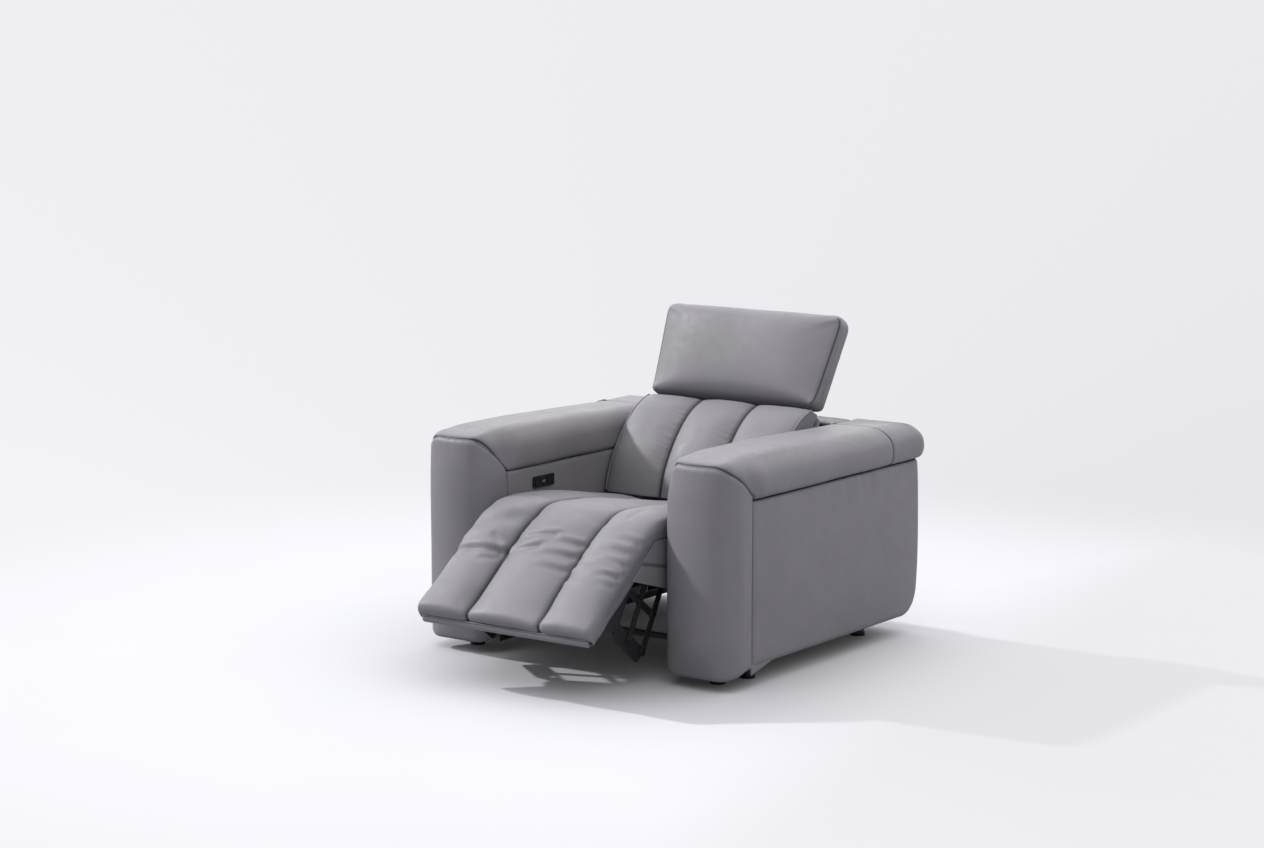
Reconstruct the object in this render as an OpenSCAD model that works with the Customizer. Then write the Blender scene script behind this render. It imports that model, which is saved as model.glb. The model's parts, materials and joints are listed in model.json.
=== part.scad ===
// Power recliner armchair with a lattice linkage under the footrest.
// Origin: middle of the overall footprint, on the floor. X right, -Y to the front, +Z up.
// Shown with the footrest part way out, the headrest up and the back at its upright stop.

/* [Armrests] */
// Width of one armrest, panel to panel
arm_w = 236; // [200:1:270]
// Depth of the armrests, front to back
arm_d = 998; // [960:1:1040]
// Height of the armrest's crest near the front
arm_h = 644; // [620:1:680]
// How far the roll drops from its crest to the rear
roll_drop = 15; // [0:1:25]
// Height of the seam below the roll
seam_h = 520; // [500:1:540]
// Rounding of the roll's long edges
roll_r = 70; // [50:1:80]
// How far the roll stands out past the outer side
roll_out = 12; // [4:1:18]
// Length of the rear section of the roll
roll_rear_len = 179; // [140:1:220]
// Rounding of the armrest's front corners
front_r = 60; // [45:1:75]
// How far the front panel wraps back along the sides
front_wrap = 103; // [90:1:125]
// Padded thickness of the front panel
front_t = 20; // [14:1:26]
// Thickness of the covered side panels
panel_t = 12; // [8:1:16]
// Height of the front panel's upper seam
front_top = 624; // [600:1:632]
// Height of the front panel's lower edge
front_clear = 30; // [24:1:36]
// Height of the side panels' lower edge
side_clear = 58; // [46:1:70]
// Rounding of the lower rear corner of the side panels
heel_r = 48; // [30:1:60]
// Thickness of the plywood boards
board_t = 18; // [15:1:21]

/* [Feet] */
// Height of the feet
foot_h = 40; // [30:1:45]
// Radius of the feet
foot_r = 20; // [16:1:24]

/* [Seat] */
// Clear width between the armrests
seat_w = 600; // [580:1:640]
// Height of the seat cushion at its crest
seat_h = 470; // [464:1:480]
// Depth of the seat cushion from its crest to its underside
seat_t = 74; // [70:1:77]
// Thickness of the seat cushion where it meets the back
seat_rear_t = 16; // [12:1:28]
// Gap between the seat cushion and each armrest
seat_gap = 10; // [6:1:14]
// Height of the side rails under the seat cushion
seat_rail_h = 106; // [90:1:110]
// Height of the cross rails that hold the springs
spring_rail_h = 40; // [34:1:46]
// Number of sinuous springs under the seat
seat_springs_n = 5; // [3:1:7]

/* [Footrest] */
// Distance of the knee line in front of the armrests' front faces
knee_out = 18; // [11:1:25]
// Depth of the knee line below the seat's crest
knee_drop = 41; // [37:1:44]
// Downward slope of the footrest as shown
rest_slope = 38.6; // [36:0.2:41]
// Length of the footrest from the knee line
footrest_len = 408; // [390:1:412]
// Height of the footrest cushion above the knee line's plane
pad_rise = 28; // [20:1:30]
// Depth of the footrest cushion below the knee line's plane
pad_depth = 38; // [34:1:39]
// Width of the footrest board
footboard_w = 490; // [484:2:500]
// Thickness of the footrest board
footboard_t = 10; // [8:1:11]
// Height of the edge band at the footrest's lower end
band_h = 17; // [12:1:22]

/* [Linkage] */
// Distance along the footrest from the knee line to its lower pivots
pivot_along = 255; // [245:1:265]
// Depth of those pivots below the knee line's plane
pivot_below = 110; // [106:1:116]
// Share of that distance at which the upper pivots sit
upper_share = 0.6; // [0.59:0.01:0.64]
// Distance behind the knee line of the rear frame pivots
base_back = 125; // [118:1:130]
// Depth below the knee line of the rear frame pivots
base_down = 95; // [90:1:100]
// Width of the ordinary link bars
link_w = 24; // [20:1:26]
// Width of the broad lower link
broad_w = 50; // [44:1:56]
// Thickness of the link bars
link_t = 4; // [3:0.5:5]
// Radius of the rivets
rivet_r = 5; // [4:0.5:6]
// Outer face of the side plates from the centre plane
plate_x = 267; // [266:1:268]
// Gap between neighbouring layers of links
layer_gap = 3; // [2:0.5:3.5]
// Running clearance round a rivet
run = 0.1; // [0.05:0.01:0.1]

/* [Drive] */
// Radius of the drive tube
tube_r = 11; // [9:0.5:12]
// Length of the crank on the drive tube
crank_len = 60; // [54:1:62]
// Width and height of the motor's track
track_w = 36; // [30:1:40]
// Radius of the motor
motor_r = 30; // [26:1:33]
// Radius of the pin between crank and slider
pin_r = 5; // [4:0.5:6]

/* [Back] */
// Recline pivot behind the armrests' mid-depth
pivot_y = 60; // [54:1:66]
// Depth of the recline pivot below the seat's crest
pivot_drop = 140; // [134:1:146]
// Height of the top of the back cushion
back_h = 677; // [672:1:684]
// Width of the uprights of the back's frame
upright_w = 30; // [24:1:36]
// Gap between the back cushion and each armrest
back_gap = 6; // [4:1:10]
// Depth of the shelf below the rear ends of the rolls
shelf_drop = 12; // [8:1:18]
// Thickness of the shelf
shelf_t = 10; // [8:1:12]

/* [Headrest] */
// Distance of the headrest's foot behind the armrests' mid-depth
head_y = 292; // [288:1:296]
// Width of the headrest at its lower edge
head_w0 = 586; // [570:1:592]
// Width of the headrest at its upper edge
head_w1 = 636; // [600:1:650]
// Height of the headrest along its slope
head_len = 296; // [280:1:300]
// how far the headrest's face stands in front of the back's top edge
head_set = 12; // [0:1:14]
// Thickness of the headrest
head_t = 74; // [66:1:80]
// Backward lean of the headrest as shown
head_lean = 26; // [22:1:30]

/* [Switch panel] */
// Length of the switch bezel
bezel_w = 100; // [90:1:110]
// Height of the switch bezel
bezel_h = 34; // [30:1:38]
// How far the bezel stands off the armrest
bezel_t = 4; // [3:0.5:4.5]
// corner radius of the switch plate
bezel_r = 6; // [4:1:10]
// How far the buttons stand out of the bezel
button_rise = 1.6; // [1.4:0.1:2]
// Distance of the bezel's middle behind the armrest's front
bezel_back = 260; // [240:1:280]
// Distance of the bezel's middle below the roll's seam
bezel_drop = 47; // [40:1:54]

/* [Hidden] */
$fn = 64;

in_x = seat_w / 2;             // inner face of an armrest
out_x = in_x + arm_w;          // outer face of an armrest
front_y = -arm_d / 2;          // front face of the armrests
rear_y = arm_d / 2;            // rear end of the rolls
wall_y = rear_y - 19;          // rear face of the armrests' panels
cross_y = rear_y - roll_rear_len;
shelf_h = arm_h - roll_drop - shelf_drop;
rail_in = in_x - 28;           // inner edge of the base rails
rail_z = side_clear + 4;       // underside of the base rails
rail_h = 40;
rail_y0 = front_y + 169;       // ends of the base rails
rail_y1 = wall_y - 60;
rail_bolt_places = [for (y = [rail_y0 + 25, rail_y1 - 120, rail_y1 - 24]) [y, rail_z + rail_h / 2]];
tube_w = 20;                   // width of the square tubes
eye_step = 4;                  // how much narrower a bar is than its eyes
inner_r = 14;                  // inside corners of the covered panels

deck_h = seat_h - seat_t;      // underside of the seat cushion
seat_rear_h = deck_h + seat_rear_t;
knee_y = knee_out - front_y;
seat_y0 = 87 - knee_y;         // ends of the seat's side rails
seat_y1 = 48;
knee_z = seat_h - knee_drop;
pivot_z = seat_h - pivot_drop;
knee = [-knee_y, knee_z];
along = [-cos(rest_slope), -sin(rest_slope)];
below = [sin(rest_slope), -cos(rest_slope)];
// A point of the footrest, given along it and below the knee line's plane.
function foot(a, w) = knee + a * along + w * below;
nose_r = 28;
nose = foot(footrest_len - nose_r, nose_r - pad_rise);
front_reach = nose_r - nose[0];
shift_y = (front_reach - rear_y) / 2;

// The linkage is a lattice of equal parallelograms with its corner at the knee line.
reach = foot(pivot_along, pivot_below) - knee;
base = [base_back, -base_down];
p_rear = knee + base;
p_front = knee + base / 2;
q_low = knee + reach;
q_up = knee + upper_share * reach;
m_low = q_low + base;
m_up = q_up + base;
x_low = q_low + base / 2;
x_up = q_up + base / 2;
layer_a = plate_x - 2 * link_t - layer_gap;     // inner face of the long links
layer_b = layer_a - link_t - layer_gap;         // inner face of the cross links
bay_x = layer_a - upright_w;                    // inner face of the back's uprights

// Drive: a crank on the rear pivots' tube runs in an upright slot of the slider.
swing_mid = 8.9;
crank_a = 270 - swing_mid;
crank_end = p_rear + crank_len * [cos(crank_a), sin(crank_a)];
track_z = p_rear[1] - crank_len * 0.86;
yoke_w = 2 * pin_r + 4;
slider_y = crank_end[0];
track_y0 = slider_y - 34;
track_y1 = 20;

recline = [pivot_y, pivot_z];
tube_at = recline + [tube_w * 3, -78];           // the seat's cross tube
head_pivot = [head_y + 46, back_h - 8];
// A point of the headrest, given up its slope and back from its front face.
head_up = [sin(head_lean), cos(head_lean)];
head_out = [cos(head_lean), -sin(head_lean)];
head_foot = [head_y - head_set, back_h + 3];
function head(u, t) = head_foot + u * head_up + t * head_out;

lever_x = 170;
bezel_y = front_y + bezel_back;
bezel_z = seam_h - bezel_drop;
button_off = bezel_w * 0.29;

// Points along an arc in a plane.
function arc(c, r, a0, a1, n = 12) = [for (i = [0:n]) let (a = a0 + (a1 - a0) * i / n) c + r * [cos(a), sin(a)]];
// A point between two others.
function mix(p, q, t) = p + (q - p) * t;

module placed() translate([0, shift_y, 0]) children();
module both() { children(); mirror([1, 0, 0]) children(); }
module side(s) { if (s > 0) children(); else mirror([1, 0, 0]) children(); }
// A side-view outline carried from one X to another.
module across(x0, x1) translate([x0, 0, 0]) rotate([90, 0, 90]) linear_extrude(height = x1 - x0) children();
// A front-view outline carried from one Y to another.
module lengthwise(y0, y1) translate([0, y1, 0]) rotate([90, 0, 0]) linear_extrude(height = y1 - y0) children();
module block(x0, x1, y0, y1, z0, z1) translate([x0, y0, z0]) cube([x1 - x0, y1 - y0, z1 - z0]);
module rod(p, r, x0, x1) across(x0, x1) translate(p) circle(r);
module spots(points, r) for (p = points) translate(p) circle(r);

// A flat bar between two points of the side view, a little narrower than its round eyes.
module bar(p, q, w) {
    d = q - p;
    waist = w - eye_step;
    translate(p) rotate(atan2(d[1], d[0])) translate([0, -waist / 2]) square([norm(d), waist]);
    spots([p, q], w / 2);
}

// A rivet through two layers, with a head on each side and a washer between them.
module rivet(p, x_in, x_out) {
    rod(p, rivet_r, x_in - 2, x_out + 2);
    rod(p, rivet_r * 1.7, x_in - 2.2, x_in - run);
    rod(p, rivet_r * 1.7, x_out + run, x_out + 2.2);
    rod(p, rivet_r * 1.8, x_in + link_t + run, x_out - link_t - run);
}

// ---- Armrests ----

module arm_end_boards() color("burlywood") placed() both() {
    y0 = front_y + front_t;
    y1 = wall_y - panel_t;
    block(in_x + front_t + inner_r, out_x - front_t - inner_r, y0, y0 + board_t, foot_h, seam_h);
    block(in_x + panel_t, out_x - panel_t - inner_r, y1 - board_t, y1, foot_h + heel_r, seam_h);
}

module arm_top_boards() color("burlywood") placed() both()
    block(in_x + front_t, out_x - front_t,
          front_y + front_t + board_t, wall_y - panel_t - board_t, seam_h - board_t, seam_h);

// Softwood rails along the bottom of each armrest, the middle one over the feet, and posts to the top board.
module arm_rails() color("tan") placed() both() {
    for (run = [[in_x + panel_t + 8, in_x + panel_t + 38, side_clear + 4],
                [in_x + 0.42 * arm_w, in_x + 0.74 * arm_w, foot_h],
                [out_x - panel_t - 38, out_x - panel_t - 8, side_clear + 4]])
        block(run[0], run[1], front_y + front_t + board_t, wall_y - panel_t - board_t - heel_r,
              run[2], run[2] + 34);
    for (x = [in_x + panel_t, out_x - panel_t - 22], y = [-140, 160])
        block(x, x + 22, y, y + 45, side_clear + 38, seam_h - board_t);
}

// The front panel's plan: a padded skin round the two front corners.
module front_plan() difference() {
    front_outline(in_x, out_x, front_y, front_r);
    front_outline(in_x + front_t, out_x - front_t, front_y + front_t, inner_r);
}

module front_outline(x0, x1, y0, r) {
    mid = (x0 + x1) / 2;
    inner_end = front_y + front_wrap - 12;
    polygon(concat([[mid, inner_end], [x0, inner_end]],
        arc([x0 + r, y0 + r], r, 180, 270), arc([x1 - r, y0 + r], r, 270, 360),
        [[x1, front_y + front_wrap], [mid, front_y + front_wrap]]));
}

// The front panel seen from the side: its upper edge falls in a shallow bow from the front to the roll's seam.
module front_side_view() {
    foot_in = [front_y + front_wrap, seam_h];
    head_in = [front_y, front_top];
    bow = 10;
    polygon(concat([[front_y - 1, front_clear], [front_y + front_t, front_clear],
                    [front_y + front_r, front_clear + 14], [front_y + front_wrap, front_clear + 22]],
        [for (i = [0:8]) let (t = i / 8) mix(foot_in, head_in, t) + bow * 2.8 * t * (1 - t) * [1, 1]],
        [[front_y - 1, front_top]]));
}

module arm_front_panel(s) color("dimgray") placed() side(s) intersection() {
    translate([0, 0, front_clear - 1]) linear_extrude(height = arm_h) front_plan();
    across(in_x - 1, out_x + 1) front_side_view();
}
module arm_front_panel_left() arm_front_panel(-1);
module arm_front_panel_right() arm_front_panel(1);

module arm_side_panel(s) color("dimgray") placed() side(s) {
    r = 40;
    intersection() {
        translate([0, 0, side_clear]) linear_extrude(height = seam_h - side_clear) difference() {
            polygon(concat([[in_x, wall_y], [in_x, front_y + front_wrap], [out_x, front_y + front_wrap]],
                arc([out_x - r, wall_y - r], r, 0, 90)));
            polygon(concat([[in_x - 1, wall_y - panel_t], [in_x - 1, front_y], [out_x - panel_t, front_y]],
                arc([out_x - panel_t - inner_r, wall_y - panel_t - inner_r], inner_r, 0, 90)));
        }
        across(in_x - 1, out_x + 1) polygon(concat(
            [[front_y, seam_h], [front_y, side_clear]],
            arc([wall_y - heel_r, side_clear + heel_r], heel_r, 270, 360), [[wall_y, seam_h]]));
    }
}
module arm_side_panel_left() arm_side_panel(-1);
module arm_side_panel_right() arm_side_panel(1);

module arm_inner_panel(s) color("dimgray") placed() side(s) difference() {
    block(in_x, in_x + panel_t, front_y + front_wrap - 12, wall_y - panel_t, side_clear, seam_h);
    if (s < 0) across(in_x - 1, in_x + panel_t + 1) translate([bezel_y, bezel_z]) cup_outline();
    across(in_x - 1, in_x + panel_t + 1) spots(rail_bolt_places, 4);
}
module arm_inner_panel_left() arm_inner_panel(-1);
module arm_inner_panel_right() arm_inner_panel(1);

// The roll's cross-section is a loaf: flat below, its two long edges well rounded.
module roll_section() {
    top = arm_h + 2;
    polygon(concat([[in_x, seam_h], [out_x + roll_out, seam_h]],
        arc([out_x + roll_out - roll_r, top - roll_r], roll_r, 0, 90, 16),
        arc([in_x + roll_r, top - roll_r], roll_r, 90, 180, 16)));
}

// Seen from the side the roll rises from the front panel to its crest, then falls gently.
module roll_profile() {
    rise = arm_h - front_top;
    run_in = 149;
    r = (run_in * run_in + rise * rise) / (2 * rise);
    crest = [front_y + run_in, arm_h];
    end_r = 46;
    rear_h = arm_h - roll_drop;
    polygon(concat([[front_y, seam_h]],
        arc([crest[0], arm_h - r], r, 90 + asin(run_in / r), 90, 10),
        arc([rear_y - end_r, rear_h - end_r], end_r, 90, 0),
        [[rear_y, seam_h]]));
}

// Seen from above it follows the front panel's corners, and swells out past the side panel.
module roll_plan() polygon(concat(
    arc([in_x + front_r, front_y + front_r], front_r, 180, 270),
    arc([out_x - front_r, front_y + front_r], front_r, 270, 360),
    [[out_x + roll_out, front_y + front_wrap + 20]],
    arc([out_x + roll_out - 50, rear_y - 50], 50, 0, 90),
    arc([in_x + 24, rear_y - 24], 24, 90, 180)));

module roll(s, y0, y1) color("gray") placed() side(s) difference() {
    intersection() {
        lengthwise(y0, y1) roll_section();
        across(in_x - 1, out_x + roll_out + 1) roll_profile();
        translate([0, 0, seam_h - 1]) linear_extrude(height = arm_h) roll_plan();
    }
    if (y0 < cross_y) intersection() {
        translate([0, 0, front_clear - 1]) linear_extrude(height = arm_h) front_plan();
        across(in_x - 1, out_x + 1) front_side_view();
    }
}
module arm_roll_left() roll(-1, front_y, cross_y);
module arm_roll_right() roll(1, front_y, cross_y);
module arm_roll_rear_left() roll(-1, cross_y, rear_y + 1);
module arm_roll_rear_right() roll(1, cross_y, rear_y + 1);

// Three plastic feet under each armrest.
module feet() color("black") placed() both()
    for (p = [[0.52, front_y + 104], [0.64, front_y + 209], [0.5, wall_y - 130]])
        translate([in_x + arm_w * p[0], p[1], 0]) {
            cylinder(h = foot_h, r = foot_r);
            cylinder(h = foot_h / 3, r = foot_r + 2);
        }

// ---- Fixed back and base ----

module outer_back_frame() color("tan") placed()
    for (z = [side_clear + 10, shelf_h - shelf_t - 60])
        block(-in_x, in_x, wall_y - 40, wall_y - panel_t, z, z + 60);

module outer_back_panel() color("dimgray") placed()
    block(-in_x, in_x, wall_y - panel_t, wall_y + 8, side_clear, shelf_h - shelf_t);

module back_shelf() color("gray") placed()
    block(-in_x - 6, in_x + 6, wall_y - 95, wall_y + 10, shelf_h - shelf_t, shelf_h);

// A channel on each side that the seat's frame glides along.
module base_rails() color("#26272a") placed() both() difference() {
    block(rail_in, in_x, rail_y0, rail_y1, rail_z, rail_z + rail_h);
    block(rail_in - 1, in_x - 3, rail_y0 - 10, rail_y1 + 10, rail_z + 3, rail_z + rail_h - 3);
    across(in_x - 4, in_x + 1) spots(rail_bolt_places, 4);
}

module base_cross_tubes() color("#26272a") placed()
    for (y = [rail_y0 + 108, rail_y1 - tube_w])
        block(-rail_in, rail_in, y, y + tube_w, rail_z - 10, rail_z + 3);

module rail_bolts() color("silver") placed() both()
    for (p = rail_bolt_places) {
        rod(p, 4, in_x - 3, in_x + panel_t);
        rod(p, 7.5, in_x - 5.2, in_x - 3);
        rod(p, 7.5, in_x + panel_t, in_x + panel_t + 4);
    }

module power_inlet() color("black") placed() translate([in_x - 90, wall_y + 8, side_clear + 52]) rotate([-90, 0, 0]) {
    difference() {
        cylinder(h = 5, r = 9);
        translate([0, 0, 1]) cylinder(h = 5, r = 3);
    }
    cylinder(h = 4.5, r = 1.1);
}

// ---- Switch panel ----

module bezel_outline(w, h) {
    square([w - h, h], center = true);
    spots([[h / 2 - w / 2, 0], [w / 2 - h / 2, 0]], h / 2);
}

module plate_outline(w, h, r) {
    square([w - 2 * r, h], center = true);
    square([w, h - 2 * r], center = true);
    spots([for (x = [-1, 1], y = [-1, 1]) [x * (w / 2 - r), y * (h / 2 - r)]], r);
}

module cup_outline() square([bezel_w - 12, bezel_h - 10], center = true);

module switch_bezel() color("black") placed() {
    cavity = bezel_h - 12;
    difference() {
        union() {
            across(-in_x, -in_x + bezel_t) translate([bezel_y, bezel_z]) plate_outline(bezel_w, bezel_h, bezel_r);
            across(-in_x - 22, -in_x) translate([bezel_y, bezel_z]) cup_outline();
        }
        across(-in_x - 12, -in_x + bezel_t + 1) translate([bezel_y, bezel_z])
            for (s = [-1, 1]) translate([s * button_off, 0]) square([26, cavity], center = true);
        across(-in_x - 12, -in_x + bezel_t + 1) translate([bezel_y, bezel_z]) bezel_outline(16, 8);
    }
}

module button(s) color("#17181a") placed()
    across(-in_x - 8, -in_x + bezel_t + button_rise) translate([bezel_y + s * button_off, bezel_z])
        square([25.2, bezel_h - 12.8], center = true);
module open_button() button(-1);
module close_button() button(1);

module usb_socket() color("silver") placed() difference() {
    across(-in_x - 12, -in_x + bezel_t - 0.6) translate([bezel_y, bezel_z]) bezel_outline(16, 8);
    across(-in_x - 8, -in_x + bezel_t) translate([bezel_y, bezel_z]) bezel_outline(9, 3.2);
}

// ---- Seat frame ----

module seat_side_rails() color("burlywood") placed() both() difference() {
    block(plate_x, in_x - seat_gap, seat_y0, seat_y1, deck_h - seat_rail_h, deck_h);
    across(plate_x - 1, plate_x + 3) spots([p_rear, recline], 12);
}

module seat_cross_rails() color("burlywood") placed()
    for (y = [seat_y0 + 8, seat_y1 - 40])
        block(link_t - plate_x, plate_x - link_t, y, y + 22, deck_h - 4 - spring_rail_h, deck_h - 4);

// Each spring is a flat-wound wave of wire from the front rail to the rear one.
module seat_springs() color("silver") placed() {
    pitch = 2 * (in_x - 70) / seat_springs_n;
    for (i = [0:seat_springs_n - 1])
        translate([(i - (seat_springs_n - 1) / 2) * pitch, 0, deck_h - 4])
            spring_wave(seat_y0 + 16, seat_y1 - 26, 13, 1.9, 4);
}

// Half rings joined by short straights, laid along Y from y0 to y1.
module spring_wave(y0, y1, r, wire, t) {
    n = floor((y1 - y0) / (2 * r));
    step = (y1 - y0) / n;
    linear_extrude(height = t) for (i = [0:n - 1]) translate([0, y0 + (i + 0.5) * step]) {
        s = i % 2 == 0 ? 1 : -1;
        translate([s * 14, 0]) difference() {
            circle(step / 2 + wire);
            circle(step / 2 - wire);
            translate([-s * 30, 0]) square(60, center = true);
        }
        for (e = [-1, 1]) translate([0, e * step / 2]) square([28.4, 2 * wire], center = true);
    }
}

module seat_cushion() color("gray") placed()
    across(-in_x + seat_gap, in_x - seat_gap) polygon(concat(
        [[seat_y1 - 14, deck_h], [seat_y1 - 14, seat_rear_h]],
        [[-150, mix([0, seat_h], [0, seat_rear_h], 0.45)[1]], [-300, seat_h - 3]],
        arc([-knee_y + 78, seat_h - 80], 80, 90, 158, 8),
        [[-knee_y + 20, deck_h + 15], [seat_y0, deck_h + 15], [seat_y0, deck_h]]));

// Steel plates that carry the linkage in front, the back's pivot behind and the glide shoes below.
module side_plates() color("#1f2023") placed() both() across(plate_x - link_t, plate_x) difference() {
    union() {
        bar(p_front, p_rear, 26);
        bar(p_rear, [-300, pivot_z - 8], 34);
        polygon([p_rear + [0, 13], p_rear - [0, 17], [-300, pivot_z - 30], [-140, pivot_z - 40],
                 [-112, rail_z + 28], [212, rail_z + 28], [150, pivot_z - 80],
                 [pivot_y + 20, pivot_z - 20], [pivot_y, pivot_z + 17]]);
        bar([-112, rail_z + 20], [212, rail_z + 20], 26);
        spots([recline], 20);
    }
    spots([p_front, p_rear, recline], rivet_r + run);
    spots([[-100, pivot_z - 80], [60, pivot_z - 130]], 16);
}

module glide_shoes() color("white") placed() both()
    for (y = [-112, 182])
        block(plate_x, in_x - 3.4, y, y + 60, rail_z + 3.4, rail_z + rail_h - 3.4);

module seat_tube() color("#26272a") placed()
    rod(tube_at, tube_r, -plate_x + link_t, plate_x - link_t);

module frame_rivets() color("silver") placed() both() for (p = [p_front, p_rear])
    rivet(p, layer_a, plate_x);

module motor_track() color("#303236") placed() difference() {
    block(-track_w / 2, track_w / 2, track_y0, track_y1, track_z - 54 - track_w, track_z - 54);
    block(-track_w / 2 + 3, track_w / 2 - 3, track_y0 - 1, track_y1 + 1, track_z - 51 - track_w, track_z - 57);
    block(-7, 7, track_y0 - 1, track_y1 - 26, track_z - 60, track_z - 50);
}

module lead_screw() color("silver") placed() translate([0, track_y0 + 2, track_z - 54 - track_w / 2])
    rotate([-90, 0, 0]) cylinder(h = track_y1 - track_y0 - 2, r = 5);

// The motor stands beside its gearbox at the rear of the track.
module motor() color("#202124") placed() {
    block(-track_w / 2 - 8, track_w / 2 + 8, track_y1, track_y1 + 62, track_z - 62 - track_w, track_z - 46);
    translate([0, track_y1 + 31, track_z - 62 - track_w - 66]) cylinder(h = 66, r = motor_r);
    translate([0, track_y1 + 31, track_z - 62 - track_w - 74]) cylinder(h = 8, r = motor_r * 0.5);
}

// A strap from the gearbox up to the seat's cross tube.
module motor_clevis() color("#303236") placed() difference() {
    across(-14, 14) {
        bar(tube_at, [track_y1 + 46, track_z - 31], 30);
        translate([track_y1 + 10, track_z - 46]) square([52, 16]);
    }
    rod(tube_at, tube_r, -20, 20);
}

// ---- Footrest ----

module tilted() translate([0, -knee_y, knee_z]) rotate([rest_slope, 0, 0]) children();
// A footrest piece given by its span along the footrest and its depth below the knee line's plane.
module foot_block(x0, x1, a0, a1, w0, w1) tilted() block(x0, x1, -a1, -a0, -w1, -w0);

module footrest_board() color("burlywood") placed()
    foot_block(-footboard_w / 2, footboard_w / 2, 34, footrest_len - 24, pad_depth, pad_depth + footboard_t);

module footrest_brackets() color("#1f2023") placed() both() {
    top = pad_depth + footboard_t;
    foot_block(layer_a - 28, layer_a + link_t, pivot_along - 155, pivot_along + 65, top, top + 3);
    across(layer_a, layer_a + link_t) difference() {
        union() {
            polygon([foot(pivot_along - 147, top + 1), foot(pivot_along + 57, top + 1),
                     foot(pivot_along + 35, pivot_below - 16),
                     foot(pivot_along + 8, pivot_below + 10), foot(pivot_along - 12, pivot_below + 8),
                     foot(140, upper_share * pivot_below + 12)]);
            spots([q_low, q_up], 13);
        }
        spots([q_low, q_up], rivet_r + run);
    }
}

module footrest_tube() color("#26272a") placed()
    foot_block(-layer_a, layer_a, pivot_along - 47, pivot_along - 47 + tube_w,
               pad_depth + footboard_t + 3, pad_depth + footboard_t + tube_w - 1);

module footrest_cushion() color("gray") placed()
    across(-in_x + seat_gap, in_x - seat_gap) polygon(concat(
        [foot(30, pad_depth), foot(25, 0), foot(27, 8 - pad_rise), foot(40, -pad_rise)],
        [for (p = arc([footrest_len - nose_r, nose_r - pad_rise], nose_r, -90, 0)) foot(p[0], p[1])],
        [foot(footrest_len - 8, pad_depth - band_h), foot(footrest_len - 14, pad_depth)]));

module footrest_band() color("dimgray") placed() both() {
    w0 = pad_depth - 1;
    foot_block(0, in_x - seat_gap - 4, footrest_len - 20, footrest_len - 10, w0 + 1, w0 + band_h);
}

// ---- Linkage ----

module rear_links() color("#1f2023") placed() both() across(layer_a, layer_a + link_t) difference() {
    bar(p_rear, m_low, link_w);
    spots([p_rear, m_low, m_up], rivet_r + run);
}

// The tube that turns both rear links together, with the crank that the slider pushes.
module drive_tube() color("#303236") placed() {
    difference() {
        rod(p_rear, tube_r, -layer_a, layer_a);
        both() rod(p_rear, rivet_r * 1.7 + 1, layer_a - 4, layer_a + 1);
    }
    across(-6, 6) difference() {
        union() {
            bar(p_rear, crank_end, 22);
            spots([p_rear], tube_r + 5);
        }
        spots([p_rear], tube_r - 0.5);
    }
    rod(crank_end, pin_r, -22, 22);
}

module front_links() color("#1f2023") placed() both() across(layer_a, layer_a + link_t) difference() {
    bar(p_front, x_low, link_w);
    spots([p_front, x_low, x_up], rivet_r + run);
}

// A point beside the lowest link, given along it from the footrest's joint and out towards the floor.
low_run = (m_low - q_low) / norm(m_low - q_low);
function low_side(a, w) = q_low + a * low_run + w * [low_run[1], -low_run[0]];

// The broad plate that reaches from the footrest down to the lowest joint.
module lower_links() color("#1f2023") placed() both() across(layer_b, layer_b + link_t) difference() {
    end = norm(m_low - q_low);
    union() {
        bar(q_low, m_low, link_w);
        polygon([low_side(8, -15), low_side(end - 8, -15), low_side(end + 9, 0), low_side(end + 3, broad_w - 20),
                 low_side(end - 6, broad_w - 15), low_side(34, broad_w - 15), low_side(8, broad_w - 28)]);
    }
    spots([q_low, m_low, x_low], rivet_r + run);
    spots([mix(q_low, m_low, 0.28)], 6.5);
}

module upper_links() color("#1f2023") placed() both() across(layer_b, layer_b + link_t) difference() {
    bar(q_up, m_up, link_w);
    spots([q_up, m_up, x_up], rivet_r + run);
}

module lower_rivets() color("silver") placed() both()
    for (p = [q_low, m_low, x_low]) rivet(p, layer_b, layer_a + link_t);

module upper_rivets() color("silver") placed() both()
    for (p = [q_up, m_up, x_up]) rivet(p, layer_b, layer_a + link_t);

// The slider's fork takes the crank's pin in two upright slots.
module slider_yoke() color("#3a3c40") placed() difference() {
    union() {
        block(-20, 20, slider_y - 17, slider_y + 17, track_z - 53.6, track_z - 26);
        for (x = [-20, 10]) block(x, x + 10, slider_y - 17, slider_y + 17, track_z - 41, track_z + 27);
        block(-6.6, 6.6, slider_y - 14, slider_y + 14, track_z - 62, track_z - 50);
        block(-14.6, 14.6, slider_y - 14, slider_y + 14, track_z - 86, track_z - 57.4);
    }
    block(-21, 21, slider_y - yoke_w / 2, slider_y + yoke_w / 2, track_z - 20, track_z + 20);
    translate([0, slider_y - 40, track_z - 54 - track_w / 2]) rotate([-90, 0, 0]) cylinder(h = 80, r = 5 + run);
}

// ---- Back ----

// The back's front line, drawn for a rise of 281 over the seat's deck and stretched to the real rise.
back_line = concat([[40, 2], [54, 50], [80, 107]],
    arc([395, -24], 341, 156, 134, 6), arc([head_y, 184], 97, 137, 100, 6));
back_front = [for (p = back_line) [p[0], deck_h + p[1] * (back_h - deck_h) / 281]];
back_foot = [152, deck_h - 12];
back_top = [322, back_h - 26];
back_up = (back_top - back_foot) / norm(back_top - back_foot);
back_out = [back_up[1], -back_up[0]];
back_len = norm(back_top - back_foot);
ply = 16;
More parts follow.
